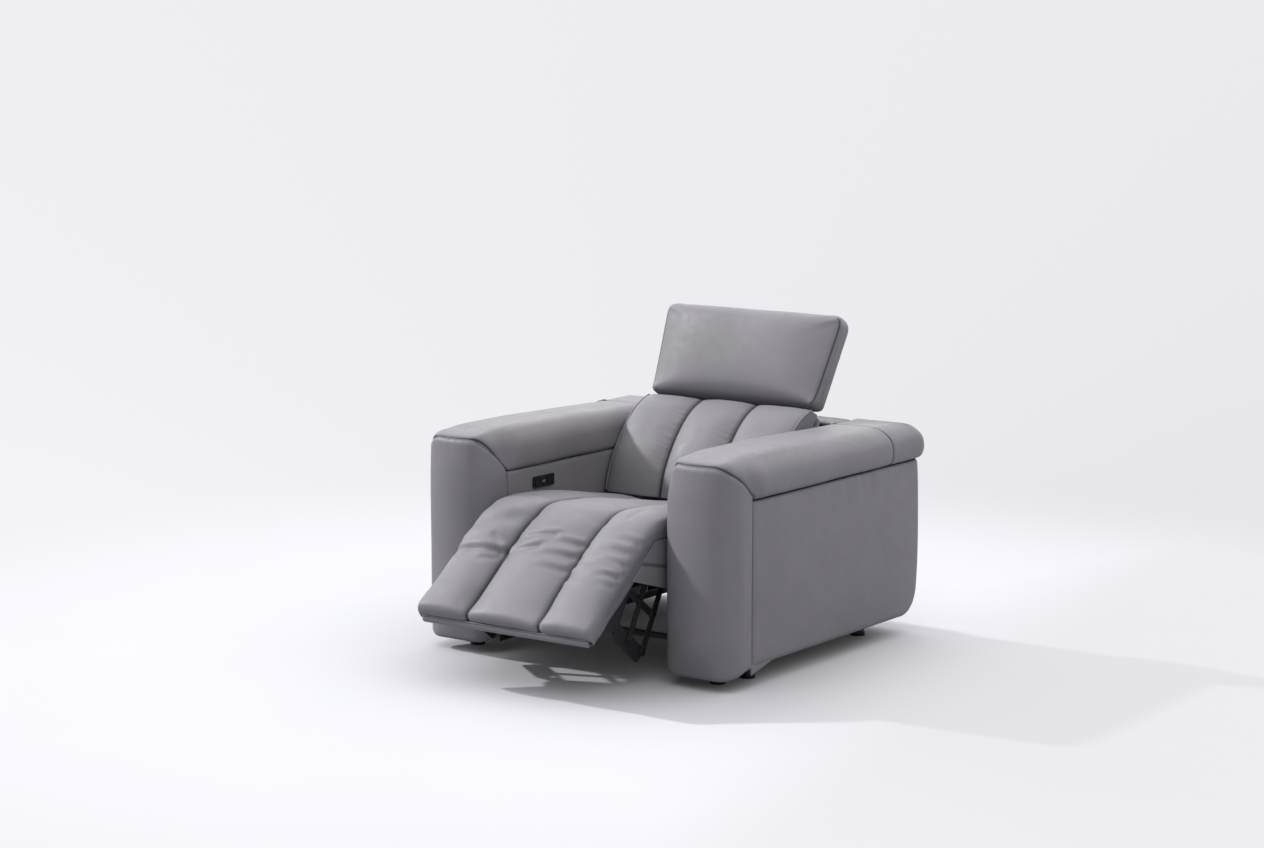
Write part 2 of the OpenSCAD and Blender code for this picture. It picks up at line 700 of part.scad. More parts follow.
// A point up the back's board line, and out behind it.
function back_at(t, out) = back_foot + t * back_len * back_up + out * back_out;
module back_strip(t0, t1, out0, out1)
    polygon([back_at(t0, out0), back_at(t1, out0), back_at(t1, out1), back_at(t0, out1)]);

// The ratchets stand in slots through the top of the back.
module ratchet_slots() both() across(lever_x, lever_x + 5) ratchet_outline();
module ratchet_outline() {
    bar(head_pivot, back_at(0.82, ply / 2), 24);
    spots([head_pivot], 17);
}

module back_cushion() color("gray") placed() difference() {
    across(-in_x + back_gap, in_x - back_gap) polygon(concat(back_front,
        [head(-4, 8), head(-4, 36), back_top, back_foot, [120, deck_h - 8]]));
    ratchet_slots();
}

module back_frame() color("burlywood") placed() difference() {
    both() across(bay_x, layer_a) back_strip(0, 0.97, 0, ply);
    ratchet_slots();
}

module back_cross_rails() color("tan") placed() difference() {
    for (t = [0, 0.83]) across(-bay_x, bay_x) back_strip(t, t + 0.12, 0, ply);
    ratchet_slots();
}

module back_springs() color("silver") placed()
    for (i = [1:5]) rod(back_at(0.1 + i * 0.13, ply / 2), 2.2, -bay_x, bay_x);

module back_rear_cover() color("dimgray") placed() difference() {
    across(-in_x + back_gap, in_x - back_gap) back_strip(0.06, 0.97, ply, ply + 6);
    ratchet_slots();
}

// Steel brackets from the recline pivot up the back's frame.
module back_brackets() color("#1f2023") placed() both() {
    across(layer_a, layer_a + link_t) difference() {
        union() {
            bar(recline, back_foot + [8, -12], 24);
            bar(back_at(0, ply / 2), back_at(0.42, ply / 2), ply - 2);
            spots([recline], 16);
        }
        spots([recline], rivet_r + run);
    }
    rivet(recline, layer_a, plate_x);
}

// ---- Headrest ----

module headrest_ratchets() color("#2a2b2e") placed() both() {
    across(lever_x, lever_x + 5) difference() {
        ratchet_outline();
        spots([head_pivot], rivet_r + run);
    }
    rod(head_pivot, rivet_r, lever_x - 9, lever_x + 5);
    rod(head_pivot, 11, lever_x - 11, lever_x - 9);
}

module lever_outline() {
    spots([head_pivot], 16);
    bar(head_pivot, head(150, head_t - 16), 22);
}

module headrest_levers() color("#1f2023") placed() both() across(lever_x - 8, lever_x - 0.4) difference() {
    lever_outline();
    spots([head_pivot], rivet_r + run);
}

module head_plan(w0, w1, u0, u1) polygon([[-w0, u0], [w0, u0], [w1, u1], [-w1, u1]]);

// Lays a face-on outline into the headrest's slope, from one depth to another.
module head_slab(t0, t1) translate([0, head_foot[0], head_foot[1]]) rotate([90 - head_lean, 0, 0])
    translate([0, 0, -t1]) linear_extrude(height = t1 - t0) children();

module headrest_board() color("burlywood") placed() difference() {
    head_slab(head_t - 24, head_t - 10) board_plan();
    both() across(lever_x - 8, lever_x - 0.4) lever_outline();
}
module board_plan() head_plan(head_w0 / 2 - 40, head_w1 / 2 - 45, 40, head_len - 36);

module headrest_cushion() color("gray") placed() difference() {
    intersection() {
        head_slab(-1, head_t + 1) difference() {
            head_plan(head_w0 / 2, head_w1 / 2, 0, head_len);
            for (s = [-1, 1]) translate([s * (head_w1 / 2 - 40), head_len - 40]) difference() {
                translate([s > 0 ? 0 : -60, 0]) square(60);
                circle(40);
            }
        }
        across(-head_w1, head_w1) {
            r = 25;
            polygon([for (p = concat(arc([r, r], r, 180, 270), arc([head_len - r, r], r, 270, 360),
                arc([head_len - r, head_t - r], r, 0, 90), arc([r, head_t - r], r, 90, 180))) head(p[0], p[1])]);
        }
    }
    head_slab(head_t - 24, head_t - 10) board_plan();
    both() across(lever_x - 12, lever_x + 8) {
        bar(head_pivot, head(160, head_t - 16), 30);
        bar(head_pivot, head(0, head_t + 20), 40);
        bar(head_pivot, head(90, head_t + 10), 36);
    }
}

arm_end_boards();
arm_top_boards();
arm_rails();
arm_front_panel_left();
arm_front_panel_right();
arm_side_panel_left();
arm_side_panel_right();
arm_inner_panel_left();
arm_inner_panel_right();
arm_roll_left();
arm_roll_right();
arm_roll_rear_left();
arm_roll_rear_right();
feet();
outer_back_frame();
outer_back_panel();
back_shelf();
base_rails();
base_cross_tubes();
rail_bolts();
power_inlet();
switch_bezel();
open_button();
close_button();
usb_socket();
seat_side_rails();
seat_cross_rails();
seat_springs();
seat_cushion();
side_plates();
glide_shoes();
seat_tube();
frame_rivets();
motor_track();
motor();
motor_clevis();
lead_screw();
footrest_board();
footrest_brackets();
footrest_tube();
footrest_cushion();
footrest_band();
rear_links();
drive_tube();
front_links();
lower_links();
lower_rivets();
upper_links();
upper_rivets();
slider_yoke();
back_frame();
back_cross_rails();
back_springs();
back_brackets();
back_cushion();
back_rear_cover();
headrest_ratchets();
headrest_levers();
headrest_board();
headrest_cushion();
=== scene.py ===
"""Power recliner armchair: its leather with painted shade in its seams, finishes, studio floor with some painted
light, light and camera.
"""

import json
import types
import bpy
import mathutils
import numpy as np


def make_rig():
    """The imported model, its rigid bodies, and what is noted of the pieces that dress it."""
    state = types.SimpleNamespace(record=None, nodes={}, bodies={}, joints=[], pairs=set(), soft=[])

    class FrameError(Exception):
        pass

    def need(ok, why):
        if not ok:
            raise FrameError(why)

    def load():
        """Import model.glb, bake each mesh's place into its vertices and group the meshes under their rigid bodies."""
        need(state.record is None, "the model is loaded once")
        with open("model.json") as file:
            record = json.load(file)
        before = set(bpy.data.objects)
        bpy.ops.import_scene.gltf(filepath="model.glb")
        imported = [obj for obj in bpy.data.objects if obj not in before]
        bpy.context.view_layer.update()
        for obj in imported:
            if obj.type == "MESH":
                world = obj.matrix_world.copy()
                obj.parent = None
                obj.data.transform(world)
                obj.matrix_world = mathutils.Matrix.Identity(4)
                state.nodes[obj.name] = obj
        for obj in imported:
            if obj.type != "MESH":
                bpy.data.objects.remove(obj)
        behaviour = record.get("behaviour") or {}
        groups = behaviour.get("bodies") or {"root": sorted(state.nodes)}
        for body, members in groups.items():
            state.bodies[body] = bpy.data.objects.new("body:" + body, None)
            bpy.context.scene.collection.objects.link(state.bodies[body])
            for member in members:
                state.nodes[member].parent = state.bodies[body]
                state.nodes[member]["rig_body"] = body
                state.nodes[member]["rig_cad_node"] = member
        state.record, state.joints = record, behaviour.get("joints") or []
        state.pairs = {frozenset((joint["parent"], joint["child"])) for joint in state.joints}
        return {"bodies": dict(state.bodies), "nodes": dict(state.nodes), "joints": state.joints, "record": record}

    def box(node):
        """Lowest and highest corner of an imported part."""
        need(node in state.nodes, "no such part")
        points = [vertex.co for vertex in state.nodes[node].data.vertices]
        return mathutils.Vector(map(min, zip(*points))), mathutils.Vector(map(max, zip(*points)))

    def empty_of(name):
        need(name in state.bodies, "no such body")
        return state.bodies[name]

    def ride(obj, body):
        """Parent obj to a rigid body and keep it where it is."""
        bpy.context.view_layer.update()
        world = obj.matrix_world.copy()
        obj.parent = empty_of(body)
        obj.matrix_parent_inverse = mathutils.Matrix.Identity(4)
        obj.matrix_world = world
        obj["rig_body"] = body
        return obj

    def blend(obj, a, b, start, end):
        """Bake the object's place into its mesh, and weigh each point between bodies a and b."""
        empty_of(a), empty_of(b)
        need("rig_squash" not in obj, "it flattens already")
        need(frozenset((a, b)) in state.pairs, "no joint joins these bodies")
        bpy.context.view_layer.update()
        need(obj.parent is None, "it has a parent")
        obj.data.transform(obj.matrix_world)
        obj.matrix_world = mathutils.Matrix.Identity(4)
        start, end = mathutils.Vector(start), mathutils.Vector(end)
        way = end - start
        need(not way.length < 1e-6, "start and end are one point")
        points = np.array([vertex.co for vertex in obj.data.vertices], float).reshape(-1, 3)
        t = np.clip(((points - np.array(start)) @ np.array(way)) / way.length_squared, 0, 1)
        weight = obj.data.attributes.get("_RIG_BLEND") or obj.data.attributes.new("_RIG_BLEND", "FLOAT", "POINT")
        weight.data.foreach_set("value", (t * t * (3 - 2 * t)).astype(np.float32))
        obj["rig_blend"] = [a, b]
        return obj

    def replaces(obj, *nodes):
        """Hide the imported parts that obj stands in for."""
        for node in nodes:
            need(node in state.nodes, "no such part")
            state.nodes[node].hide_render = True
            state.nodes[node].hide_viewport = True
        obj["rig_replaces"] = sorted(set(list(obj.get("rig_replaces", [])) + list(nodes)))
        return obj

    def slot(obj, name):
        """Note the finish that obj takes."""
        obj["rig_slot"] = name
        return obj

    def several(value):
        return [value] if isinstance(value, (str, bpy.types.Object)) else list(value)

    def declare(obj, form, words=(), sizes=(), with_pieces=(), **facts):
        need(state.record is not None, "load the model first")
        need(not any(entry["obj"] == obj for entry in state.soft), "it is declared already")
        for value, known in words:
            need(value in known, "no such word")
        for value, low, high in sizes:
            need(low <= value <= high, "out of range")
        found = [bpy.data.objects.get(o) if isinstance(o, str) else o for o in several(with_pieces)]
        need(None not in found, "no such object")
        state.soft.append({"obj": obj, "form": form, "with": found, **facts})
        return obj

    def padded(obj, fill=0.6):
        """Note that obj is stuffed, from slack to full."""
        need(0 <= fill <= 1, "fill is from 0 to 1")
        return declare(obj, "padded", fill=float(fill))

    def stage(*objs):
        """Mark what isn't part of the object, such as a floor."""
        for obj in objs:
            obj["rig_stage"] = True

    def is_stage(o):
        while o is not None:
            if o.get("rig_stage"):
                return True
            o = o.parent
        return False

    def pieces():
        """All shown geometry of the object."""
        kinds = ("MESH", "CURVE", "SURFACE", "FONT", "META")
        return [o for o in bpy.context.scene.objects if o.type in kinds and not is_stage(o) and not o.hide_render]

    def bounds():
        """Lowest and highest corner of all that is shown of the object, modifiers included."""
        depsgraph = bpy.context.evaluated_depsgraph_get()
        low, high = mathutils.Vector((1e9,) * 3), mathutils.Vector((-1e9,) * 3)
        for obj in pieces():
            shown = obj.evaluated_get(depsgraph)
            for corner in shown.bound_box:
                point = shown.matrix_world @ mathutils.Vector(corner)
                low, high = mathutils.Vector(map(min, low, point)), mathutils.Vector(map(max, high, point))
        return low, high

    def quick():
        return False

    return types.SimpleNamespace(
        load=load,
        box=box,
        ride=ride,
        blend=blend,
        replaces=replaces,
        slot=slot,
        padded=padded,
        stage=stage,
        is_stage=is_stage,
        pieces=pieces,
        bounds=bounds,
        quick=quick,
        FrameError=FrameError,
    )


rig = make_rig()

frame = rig.load()

import json
import logging
import math
from dataclasses import dataclass, field
from enum import Enum
from typing import Callable, Iterable, Sequence

import bmesh
import bpy
import numpy as np
from mathutils import Vector, noise

logging.basicConfig(level=logging.INFO, format="%(levelname)s %(name)s: %(message)s")
log = logging.getLogger("armchair")

Point2 = tuple[float, float]
Point3 = tuple[float, float, float]
MM = 0.001


class Side(Enum):
    """Which armrest, seen from the front."""

    LEFT = -1
    RIGHT = 1


class Pull(Enum):
    """How tightly a pad is filled before its cover is sewn on."""

    PANEL = 0.8
    CUSHION = 0.6
    SOFT = 0.5


# ---------------------------------------------------------------- measures


@dataclass(frozen=True)
class Datum:
    """The point on the floor midway along the armrests, from which every size is given."""

    depth: float

    @classmethod
    def from_frame(cls) -> "Datum":
        """Takes the armrests' mid-depth from the front panel's face and the rolls' rear ends."""
        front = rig.box("arm_front_panel_left")[0].y
        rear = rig.box("arm_roll_rear_left")[1].y
        return cls((front + rear) / 2)

    def at(self, x: float, y: float, z: float) -> Vector:
        """A place given in millimetres from the datum, in metres in the shared frame."""
        return Vector((x * MM, y * MM + self.depth, z * MM))

    def read(self, places: np.ndarray) -> tuple[np.ndarray, np.ndarray, np.ndarray]:
        """Places in the shared frame as x, y and z in millimetres from the datum."""
        return places[:, 0] / MM, (places[:, 1] - self.depth) / MM, places[:, 2] / MM


DATUM = Datum.from_frame()


def smooth(low: float, high: float, x: float) -> float:
    """An S-shaped step from 0 at low to 1 at high."""
    t = min(1.0, max(0.0, (x - low) / (high - low)))
    return t * t * (3 - 2 * t)


def steps(low: float, high: float, x: np.ndarray) -> np.ndarray:
    """The same S-shaped step for a whole array."""
    t = np.clip((x - low) / (high - low), 0, 1)
    return t * t * (3 - 2 * t)


@dataclass(frozen=True)
class Line:
    """A smooth line through a few points, read by the share of its length."""

    points: tuple[tuple[float, ...], ...]

    def at(self, t: float) -> np.ndarray:
        """The place at share t, on a Catmull-Rom curve through the points."""
        pts = np.array(self.points, float)
        gaps = np.linalg.norm(np.diff(pts[:, :2], axis=0), axis=1)
        marks = np.concatenate([[0], np.cumsum(gaps)]) / gaps.sum()
        t = min(1.0, max(0.0, t))
        i = int(min(len(pts) - 2, max(0, np.searchsorted(marks, t) - 1)))
        a, b = pts[i], pts[i + 1]
        span = marks[i + 1] - marks[i]
        s = (t - marks[i]) / span
        before = (b - pts[i - 1]) / (marks[i + 1] - marks[i - 1]) * span if i else b - a
        last = i + 2 >= len(pts)
        after = b - a if last else (pts[i + 2] - a) / (marks[i + 2] - marks[i]) * span
        h = s * s * (3 - 2 * s)
        return (a + (b - a) * h + before * (s * (1 - s) ** 2) - after * (s * s * (1 - s)))


# ---------------------------------------------------------------- blanks


SHARES = ("across", "along", "deep")
Shape = Callable[[float, float, float], Vector]


def blank(nx: int, ny: int, nz: int) -> bmesh.types.BMesh:
    """A box of even quads, x from -1 to 1, y and z from 0 to 1, each vertex keeping those three shares.

    Args:
        nx: Quads across.
        ny: Quads along.
        nz: Quads deep.

    Returns:
        The box, with float layers across, along and deep.
    """
    bm = bmesh.new()
    bmesh.ops.create_grid(bm, x_segments=nx, y_segments=ny, size=1)
    bmesh.ops.translate(bm, verts=bm.verts[:], vec=(0, 1, 0))
    bmesh.ops.scale(bm, verts=bm.verts[:], vec=(1, 0.5, 1))
    floor = bm.faces[:]
    raised = bmesh.ops.extrude_face_region(bm, geom=floor, use_keep_orig=True)["geom"]
    top = [g for g in raised if isinstance(g, bmesh.types.BMVert)]
    bmesh.ops.translate(bm, verts=top, vec=(0, 0, 1))
    if nz > 1:
        upright = [e for e in bm.edges if abs(e.verts[0].co.z - e.verts[1].co.z) > 0.5]
        bmesh.ops.subdivide_edges(bm, edges=upright, cuts=nz - 1, use_grid_fill=True)
    bmesh.ops.recalc_face_normals(bm, faces=bm.faces[:])
    layers = [bm.verts.layers.float.new(name) for name in SHARES]
    for v in bm.verts:
        for layer, share in zip(layers, v.co):
            v[layer] = share
    return bm


def soften(p: Sequence[float], half: Sequence[float], corner: float, top: Point2,
           low: Point2) -> list[float]:
    """Rounds a box: its corners in plan and its upper and lower edges.

    Args:
        p: A place on the box, from its middle.
        half: Half the box's width, length and depth.
        corner: Radius of the corners in plan.
        top: Radii of the upper edges, along the sides and across the ends.
        low: Radii of the lower edges.

    Returns:
        The same place on the rounded box.
    """
    x, y, z = p
    hx, hy, hz = half
    level = max(abs(x) / hx, abs(y) / hy, 1e-9)
    ex, ey = x / level, y / level
    cx = max(-(hx - corner), min(hx - corner, ex))
    cy = max(-(hy - corner), min(hy - corner, ey))
    dx, dy = ex - cx, ey - cy
    size = math.hypot(dx, dy)
    if size > corner:
        ex, ey = cx + dx * corner / size, cy + dy * corner / size
    x, y = ex * level, ey * level
    qx, qy = abs(x) - (hx - corner), abs(y) - (hy - corner)
    if qx > 0 and qy > 0:
        size = math.hypot(qx, qy)
        inset, nx, ny = corner - size, qx / size, qy / size
    elif hx - abs(x) < hy - abs(y):
        inset, nx, ny = hx - abs(x), 1.0, 0.0
    else:
        inset, nx, ny = hy - abs(y), 0.0, 1.0
    radii = top if z > 0 else low
    r = min(radii[0] * nx * nx + radii[1] * ny * ny, hz * 0.98)
    e, f = max(0.0, r - inset), max(0.0, abs(z) - (hz - r))
    size = math.hypot(e, f)
    if e > 0 and f > 0 and size > 1e-9:
        move = e * r / size - e
        x += math.copysign(nx, x) * move
        y += math.copysign(ny, y) * move
        z = math.copysign(hz - r + f * r / size, z)
    return [x, y, z]


@dataclass
class Piece:
    """A finished piece on its way from a blank to an object of the scene."""

    name: str
    obj: bpy.types.Object

    @classmethod
    def from_blank(cls, name: str, bm: bmesh.types.BMesh, shape: Shape) -> "Piece":
        """Bends a blank into its shape.

        Args:
            name: The piece's name.
            bm: The blank, which is used up.
            shape: The place, in metres, of each vertex from its three shares.

        Returns:
            The piece, linked to the scene.
        """
        for v in bm.verts:
            v.co = shape(*v.co)
        bm.normal_update()
        if bm.calc_volume(signed=True) < 0:
            bmesh.ops.reverse_faces(bm, faces=bm.faces[:])
        return cls.from_bmesh(name, bm)

    @classmethod
    def from_bmesh(cls, name: str, bm: bmesh.types.BMesh) -> "Piece":
        """Makes an object of a bmesh, which is used up."""
        mesh = bpy.data.meshes.new(name)
        bm.to_mesh(mesh)
        bm.free()
        mesh.shade_smooth()
        obj = bpy.data.objects.new(name, mesh)
        bpy.context.scene.collection.objects.link(obj)
        return cls(name, obj)

    def places(self, normals: bool = False) -> np.ndarray:
        """Where the vertices are, or the way that each one faces."""
        mesh = self.obj.data
        out = np.zeros(len(mesh.vertices) * 3, np.float32)
        if normals:
            mesh.vertex_normals.foreach_get("vector", out)
        else:
            mesh.vertices.foreach_get("co", out)
        return out.reshape(-1, 3).astype(float)

    def shares(self) -> list[np.ndarray]:
        """Each vertex's shares across, along and deep, as the blank gave them."""
        mesh = self.obj.data
        shares = []
        for key in SHARES:
            out = np.zeros(len(mesh.vertices), np.float32)
            mesh.attributes[key].data.foreach_get("value", out)
            shares.append(out.astype(float))
        return shares

    def write(self, co: np.ndarray) -> None:
        """Moves the vertices to new places."""
        self.obj.data.vertices.foreach_set("co", co.astype(np.float32).ravel())
        self.obj.data.update()

    def mark(self, key: str, values: np.ndarray) -> None:
        """Keeps a value from 0 to 1 on each vertex, for the materials."""
        mesh = self.obj.data
        layer = mesh.attributes.get(key) or mesh.attributes.new(key, "FLOAT", "POINT")
        layer.data.foreach_set("value", values.astype(np.float32))

    def swell(self, amount: np.ndarray) -> None:
        """Moves each vertex along its normal, in millimetres."""
        self.write(self.places() + self.places(normals=True) * (amount * MM)[:, None])

    def apply(self) -> None:
        """Applies the live modifiers."""
        dg = bpy.context.evaluated_depsgraph_get()
        dg.update()
        mesh = bpy.data.meshes.new_from_object(self.obj.evaluated_get(dg), depsgraph=dg)
        old = self.obj.data
        self.obj.modifiers.clear()
        self.obj.data = mesh
        bpy.data.meshes.remove(old)
        mesh.name = self.name
        mesh.shade_smooth()

    def refine(self, levels: int = 1) -> None:
        """Halves the quads and smooths them."""
        mod = self.obj.modifiers.new("refine", "SUBSURF")
        mod.levels = mod.render_levels = levels
        mod.boundary_smooth = "PRESERVE_CORNERS"
        self.apply()

    def finish(self, material: bpy.types.Material, slot: str, body: str, *nodes: str) -> None:
        """Gives the piece its finish, its body and the solids that it stands for."""
        self.obj.data.materials.clear()
        self.obj.data.materials.append(material)
        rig.slot(self.obj, slot)
        if body:
            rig.ride(self.obj, body)
        if nodes:
            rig.replaces(self.obj, *nodes)
        faces = len(self.obj.data.polygons)
        log.info("%s: %d faces, on %s", self.name, faces, body or "two bodies")


@dataclass
class Filling:
    """Blows all the pads up at once under their covers, with the sewn lines held."""

    pressure: float = 4.0
    frames: int = 20
    pads: list[tuple[Piece, np.ndarray, float]] = field(default_factory=list)

    def add(self, piece: Piece, held: np.ndarray, cap: float) -> None:
        """Puts a pad in line.

        Args:
            piece: The pad.
            held: For each vertex, 1 where a seam or board holds it, 0 where it is free.
            cap: The most that a point may move, in millimetres.
        """
        self.pads.append((piece, held, cap))

    def run(self) -> None:
        """Simulates every pad's cover together and keeps the result."""
        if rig.quick() or not self.pads:
            return
        scene = bpy.context.scene
        for piece, held, _ in self.pads:
            group = piece.obj.vertex_groups.new(name="held")
            for i in np.nonzero(held > 0)[0]:
                group.add([int(i)], float(held[i]), "REPLACE")
            mod = piece.obj.modifiers.new("cover", "CLOTH")
            cloth = mod.settings
            cloth.quality = 5
            cloth.mass = 0.3
            cloth.tension_stiffness = cloth.compression_stiffness = 15
            cloth.shear_stiffness = 5
            cloth.bending_stiffness = 0.5
            cloth.use_pressure = True
            cloth.uniform_pressure_force = self.pressure
            cloth.vertex_group_mass = "held"
            cloth.effector_weights.gravity = 0
            mod.collision_settings.use_collision = False
            mod.point_cache.frame_start, mod.point_cache.frame_end = 1, self.frames
        for f in range(1, self.frames + 1):
            scene.frame_set(f)
        dg = bpy.context.evaluated_depsgraph_get()
        moved = []
        for piece, held, cap in self.pads:
            puffed = np.zeros(len(piece.obj.data.vertices) * 3, np.float32)
            piece.obj.evaluated_get(dg).data.vertices.foreach_get("co", puffed)
            start = piece.places()
            move = puffed.reshape(-1, 3) - start
            size = np.linalg.norm(move, axis=1)
            limit = cap * MM
            scale = np.where(size > 1e-9, limit * np.tanh(size / limit) / np.maximum(size, 1e-9), 0)
            moved.append(start + move * scale[:, None])
            log.info("%s filled: moved up to %.1f mm", piece.name, size.max() * 1000)
        for (piece, _, _), co in zip(self.pads, moved):
            piece.obj.modifiers.clear()
            piece.obj.vertex_groups.clear()
            piece.write(co)
        scene.frame_set(1)


# ---------------------------------------------------------------- finishes

Colour = tuple[float, float, float]
Socket = bpy.types.NodeSocket


@dataclass(frozen=True)
class Tree:
    """A node tree, with short ways to add and join its nodes."""

    tree: bpy.types.NodeTree

    def feed(self, node: bpy.types.Node, inputs: dict[str | int, object]) -> bpy.types.Node:
        """Joins a socket to each input, or gives it a value, and returns the node."""
        for key, value in inputs.items():
            if isinstance(value, Socket):
                self.tree.links.new(value, node.inputs[key])
            else:
                node.inputs[key].default_value = value
        return node

    def add(self, kind: str, inputs: dict[str | int, object] | None = None,
            **options: object) -> bpy.types.Node:
        """Adds a shader node.

        Args:
            kind: Blender's name for it, without its first two words.
            inputs: A socket or a value for each input that isn't left as it comes.
            options: The node's own settings.

        Returns:
            The node.
        """
        node = self.tree.nodes.new(f"ShaderNode{kind}")
        for key, value in options.items():
            setattr(node, key, value)
        return self.feed(node, inputs or {})

    def noise(self, place: Socket, scale: Socket | float, detail: float = 2.0) -> Socket:
        """Cloudy noise over a set of places."""
        return self.add("TexNoise", {"Vector": place, "Scale": scale, "Detail": detail}).outputs["Fac"]

    def spread(self, value: Socket, source: Point2 = (0.0, 1.0), result: Point2 = (0.0, 1.0),
               way: str = "LINEAR") -> Socket:
        """A value taken from one range to another, and held at its ends."""
        inputs = {"Value": value, "From Min": source[0], "From Max": source[1],
                  "To Min": result[0], "To Max": result[1]}
        return self.add("MapRange", inputs, interpolation_type=way).outputs["Result"]

    def mix(self, share: Socket, first: Socket | Colour, second: Colour) -> Socket:
        """A colour between two."""
        start = first if isinstance(first, Socket) else (*first, 1)
        made = self.add("Mix", {"Factor": share, "A": start, "B": (*second, 1)}, data_type="RGBA")
        return made.outputs["Result"]

    def sum(self, way: str, *inputs: Socket | float) -> Socket:
        """The result of one step of arithmetic."""
        return self.add("Math", dict(enumerate(inputs)), operation=way).outputs[0]

    def vector(self, way: str, result: str, *inputs: object) -> Socket:
        """The result of one step of vector arithmetic."""
        return self.add("VectorMath", dict(enumerate(inputs)), operation=way).outputs[result]


def socket(group: bpy.types.NodeTree, name: str, way: str, kind: str, value: float | None = None) -> None:
    """Adds a socket to a node group."""
    made = group.interface.new_socket(name=name, in_out=way, socket_type=kind)
    if value is not None:
        made.default_value = value


@dataclass(frozen=True)
class GrainGroup:
    """Fine pebbled leather grain with soft blotches, as a node group."""

    name: str = "leather_grain"
    pebble: float = 520.0
    pore: float = 210.0
    crease: float = 38.0
    blotch: float = 5.5

    def build(self) -> bpy.types.NodeTree:
        """Returns the group, made once."""
        if self.name in bpy.data.node_groups:
            return bpy.data.node_groups[self.name]
        group = bpy.data.node_groups.new(self.name, "ShaderNodeTree")
        socket(group, "Vector", "INPUT", "NodeSocketVector")
        socket(group, "Pebble", "INPUT", "NodeSocketFloat", self.pebble)
        socket(group, "Crease", "INPUT", "NodeSocketFloat", self.crease)
        for name in ("Height", "Tone", "Gloss"):
            socket(group, name, "OUTPUT", "NodeSocketFloat")
        tree = Tree(group)
        given = group.nodes.new("NodeGroupInput").outputs
        place = given["Vector"]
        cells = tree.add("TexVoronoi", {"Vector": place, "Scale": given["Pebble"], "Smoothness": 0.6},
                         feature="SMOOTH_F1")
        creases = tree.noise(place, given["Crease"])
        pebbles = tree.sum("MULTIPLY_ADD", tree.noise(place, self.pore, 3.0), 0.5, cells.outputs["Distance"])
        tree.feed(group.nodes.new("NodeGroupOutput"), {
            "Height": tree.sum("MULTIPLY_ADD", creases, 1.6, pebbles),
            "Tone": tree.spread(tree.noise(place, self.blotch, 3.0), (0.3, 0.7)),
            "Gloss": tree.spread(creases, (0.3, 0.75))})
        return group


@dataclass(frozen=True)
class Finish:
    """What every finish has: two close tones, a range of roughness and a fine relief."""

    name: str
    pale: Colour
    dark: Colour
    rough: Point2
    relief: float = 0.08

    def build(self) -> bpy.types.Material:
        """Returns the material, made once."""
        if self.name in bpy.data.materials:
            return bpy.data.materials[self.name]
        made = bpy.data.materials.new(self.name)
        made.use_nodes = True
        tree = Tree(made.node_tree)
        self.paint(tree, made.node_tree.nodes["Principled BSDF"], tree.add("TexCoord").outputs["Object"])
        return made

    def paint(self, tree: Tree, shader: bpy.types.Node, place: Socket) -> None:
        """Joins the finish's own nodes to the shader."""
        raise NotImplementedError

    def coat(self, tree: Tree, shader: bpy.types.Node, colour: Socket, rough: Socket, height: Socket,
             depth: float) -> None:
        """Joins colour, roughness and relief to the shader.

        Args:
            tree: The material's nodes.
            shader: The shader.
            colour: Its colour.
            rough: Its roughness.
            height: Its relief, from 0 to 1.
            depth: How deep the relief is, in metres.
        """
        bump = tree.add("Bump", {"Strength": self.relief, "Distance": depth, "Height": height})
        tree.feed(shader, {"Base Color": colour, "Roughness": rough, "Normal": bump.outputs["Normal"]})


@dataclass(frozen=True)
class Leather(Finish):
    """Semi-matte leather, with painted shade down in its seams."""

    # seam: near-black colour laid over the seam line and its valley, painted shade of the seams.
    seam: Colour = (0.012, 0.011, 0.013)
    shine: float = 0.26

    def paint(self, tree: Tree, shader: bpy.types.Node, place: Socket) -> None:
        """Grain and blotches, with the painted shade of the seams laid over them."""
        grain = tree.add("Group", {"Vector": place}, node_tree=GrainGroup().build()).outputs
        # The seam attribute is a mask of painted shade along the seams.
        painted_seam_shade = tree.add("Attribute", attribute_name="seam").outputs["Fac"]
        colour = tree.mix(painted_seam_shade, tree.mix(grain["Tone"], self.dark, self.pale), self.seam)
        tree.feed(shader, {"Specular IOR Level": self.shine})
        rough = tree.spread(grain["Gloss"], result=self.rough)
        self.coat(tree, shader, colour, rough, grain["Height"], 0.0006)


@dataclass(frozen=True)
class Enamel(Finish):
    """Hard finishes of metal, plastic and timber, and the lining: a little grime, orange peel or weave."""

    metal: float = 0.0
    scale: float = 60.0
    stretch: Colour = (1.0, 1.0, 1.0)

    def paint(self, tree: Tree, shader: bpy.types.Node, place: Socket) -> None:
        """One cloudy wear for the colour, the roughness and the relief."""
        turned = tree.add("Mapping", {"Vector": place, "Scale": self.stretch}).outputs["Vector"]
        wear = tree.noise(turned, self.scale, 5.0)
        tree.feed(shader, {"Metallic": self.metal})
        rough = tree.spread(wear, (0.3, 0.7), self.rough)
        self.coat(tree, shader, tree.mix(wear, self.dark, self.pale), rough, wear, 0.0004)


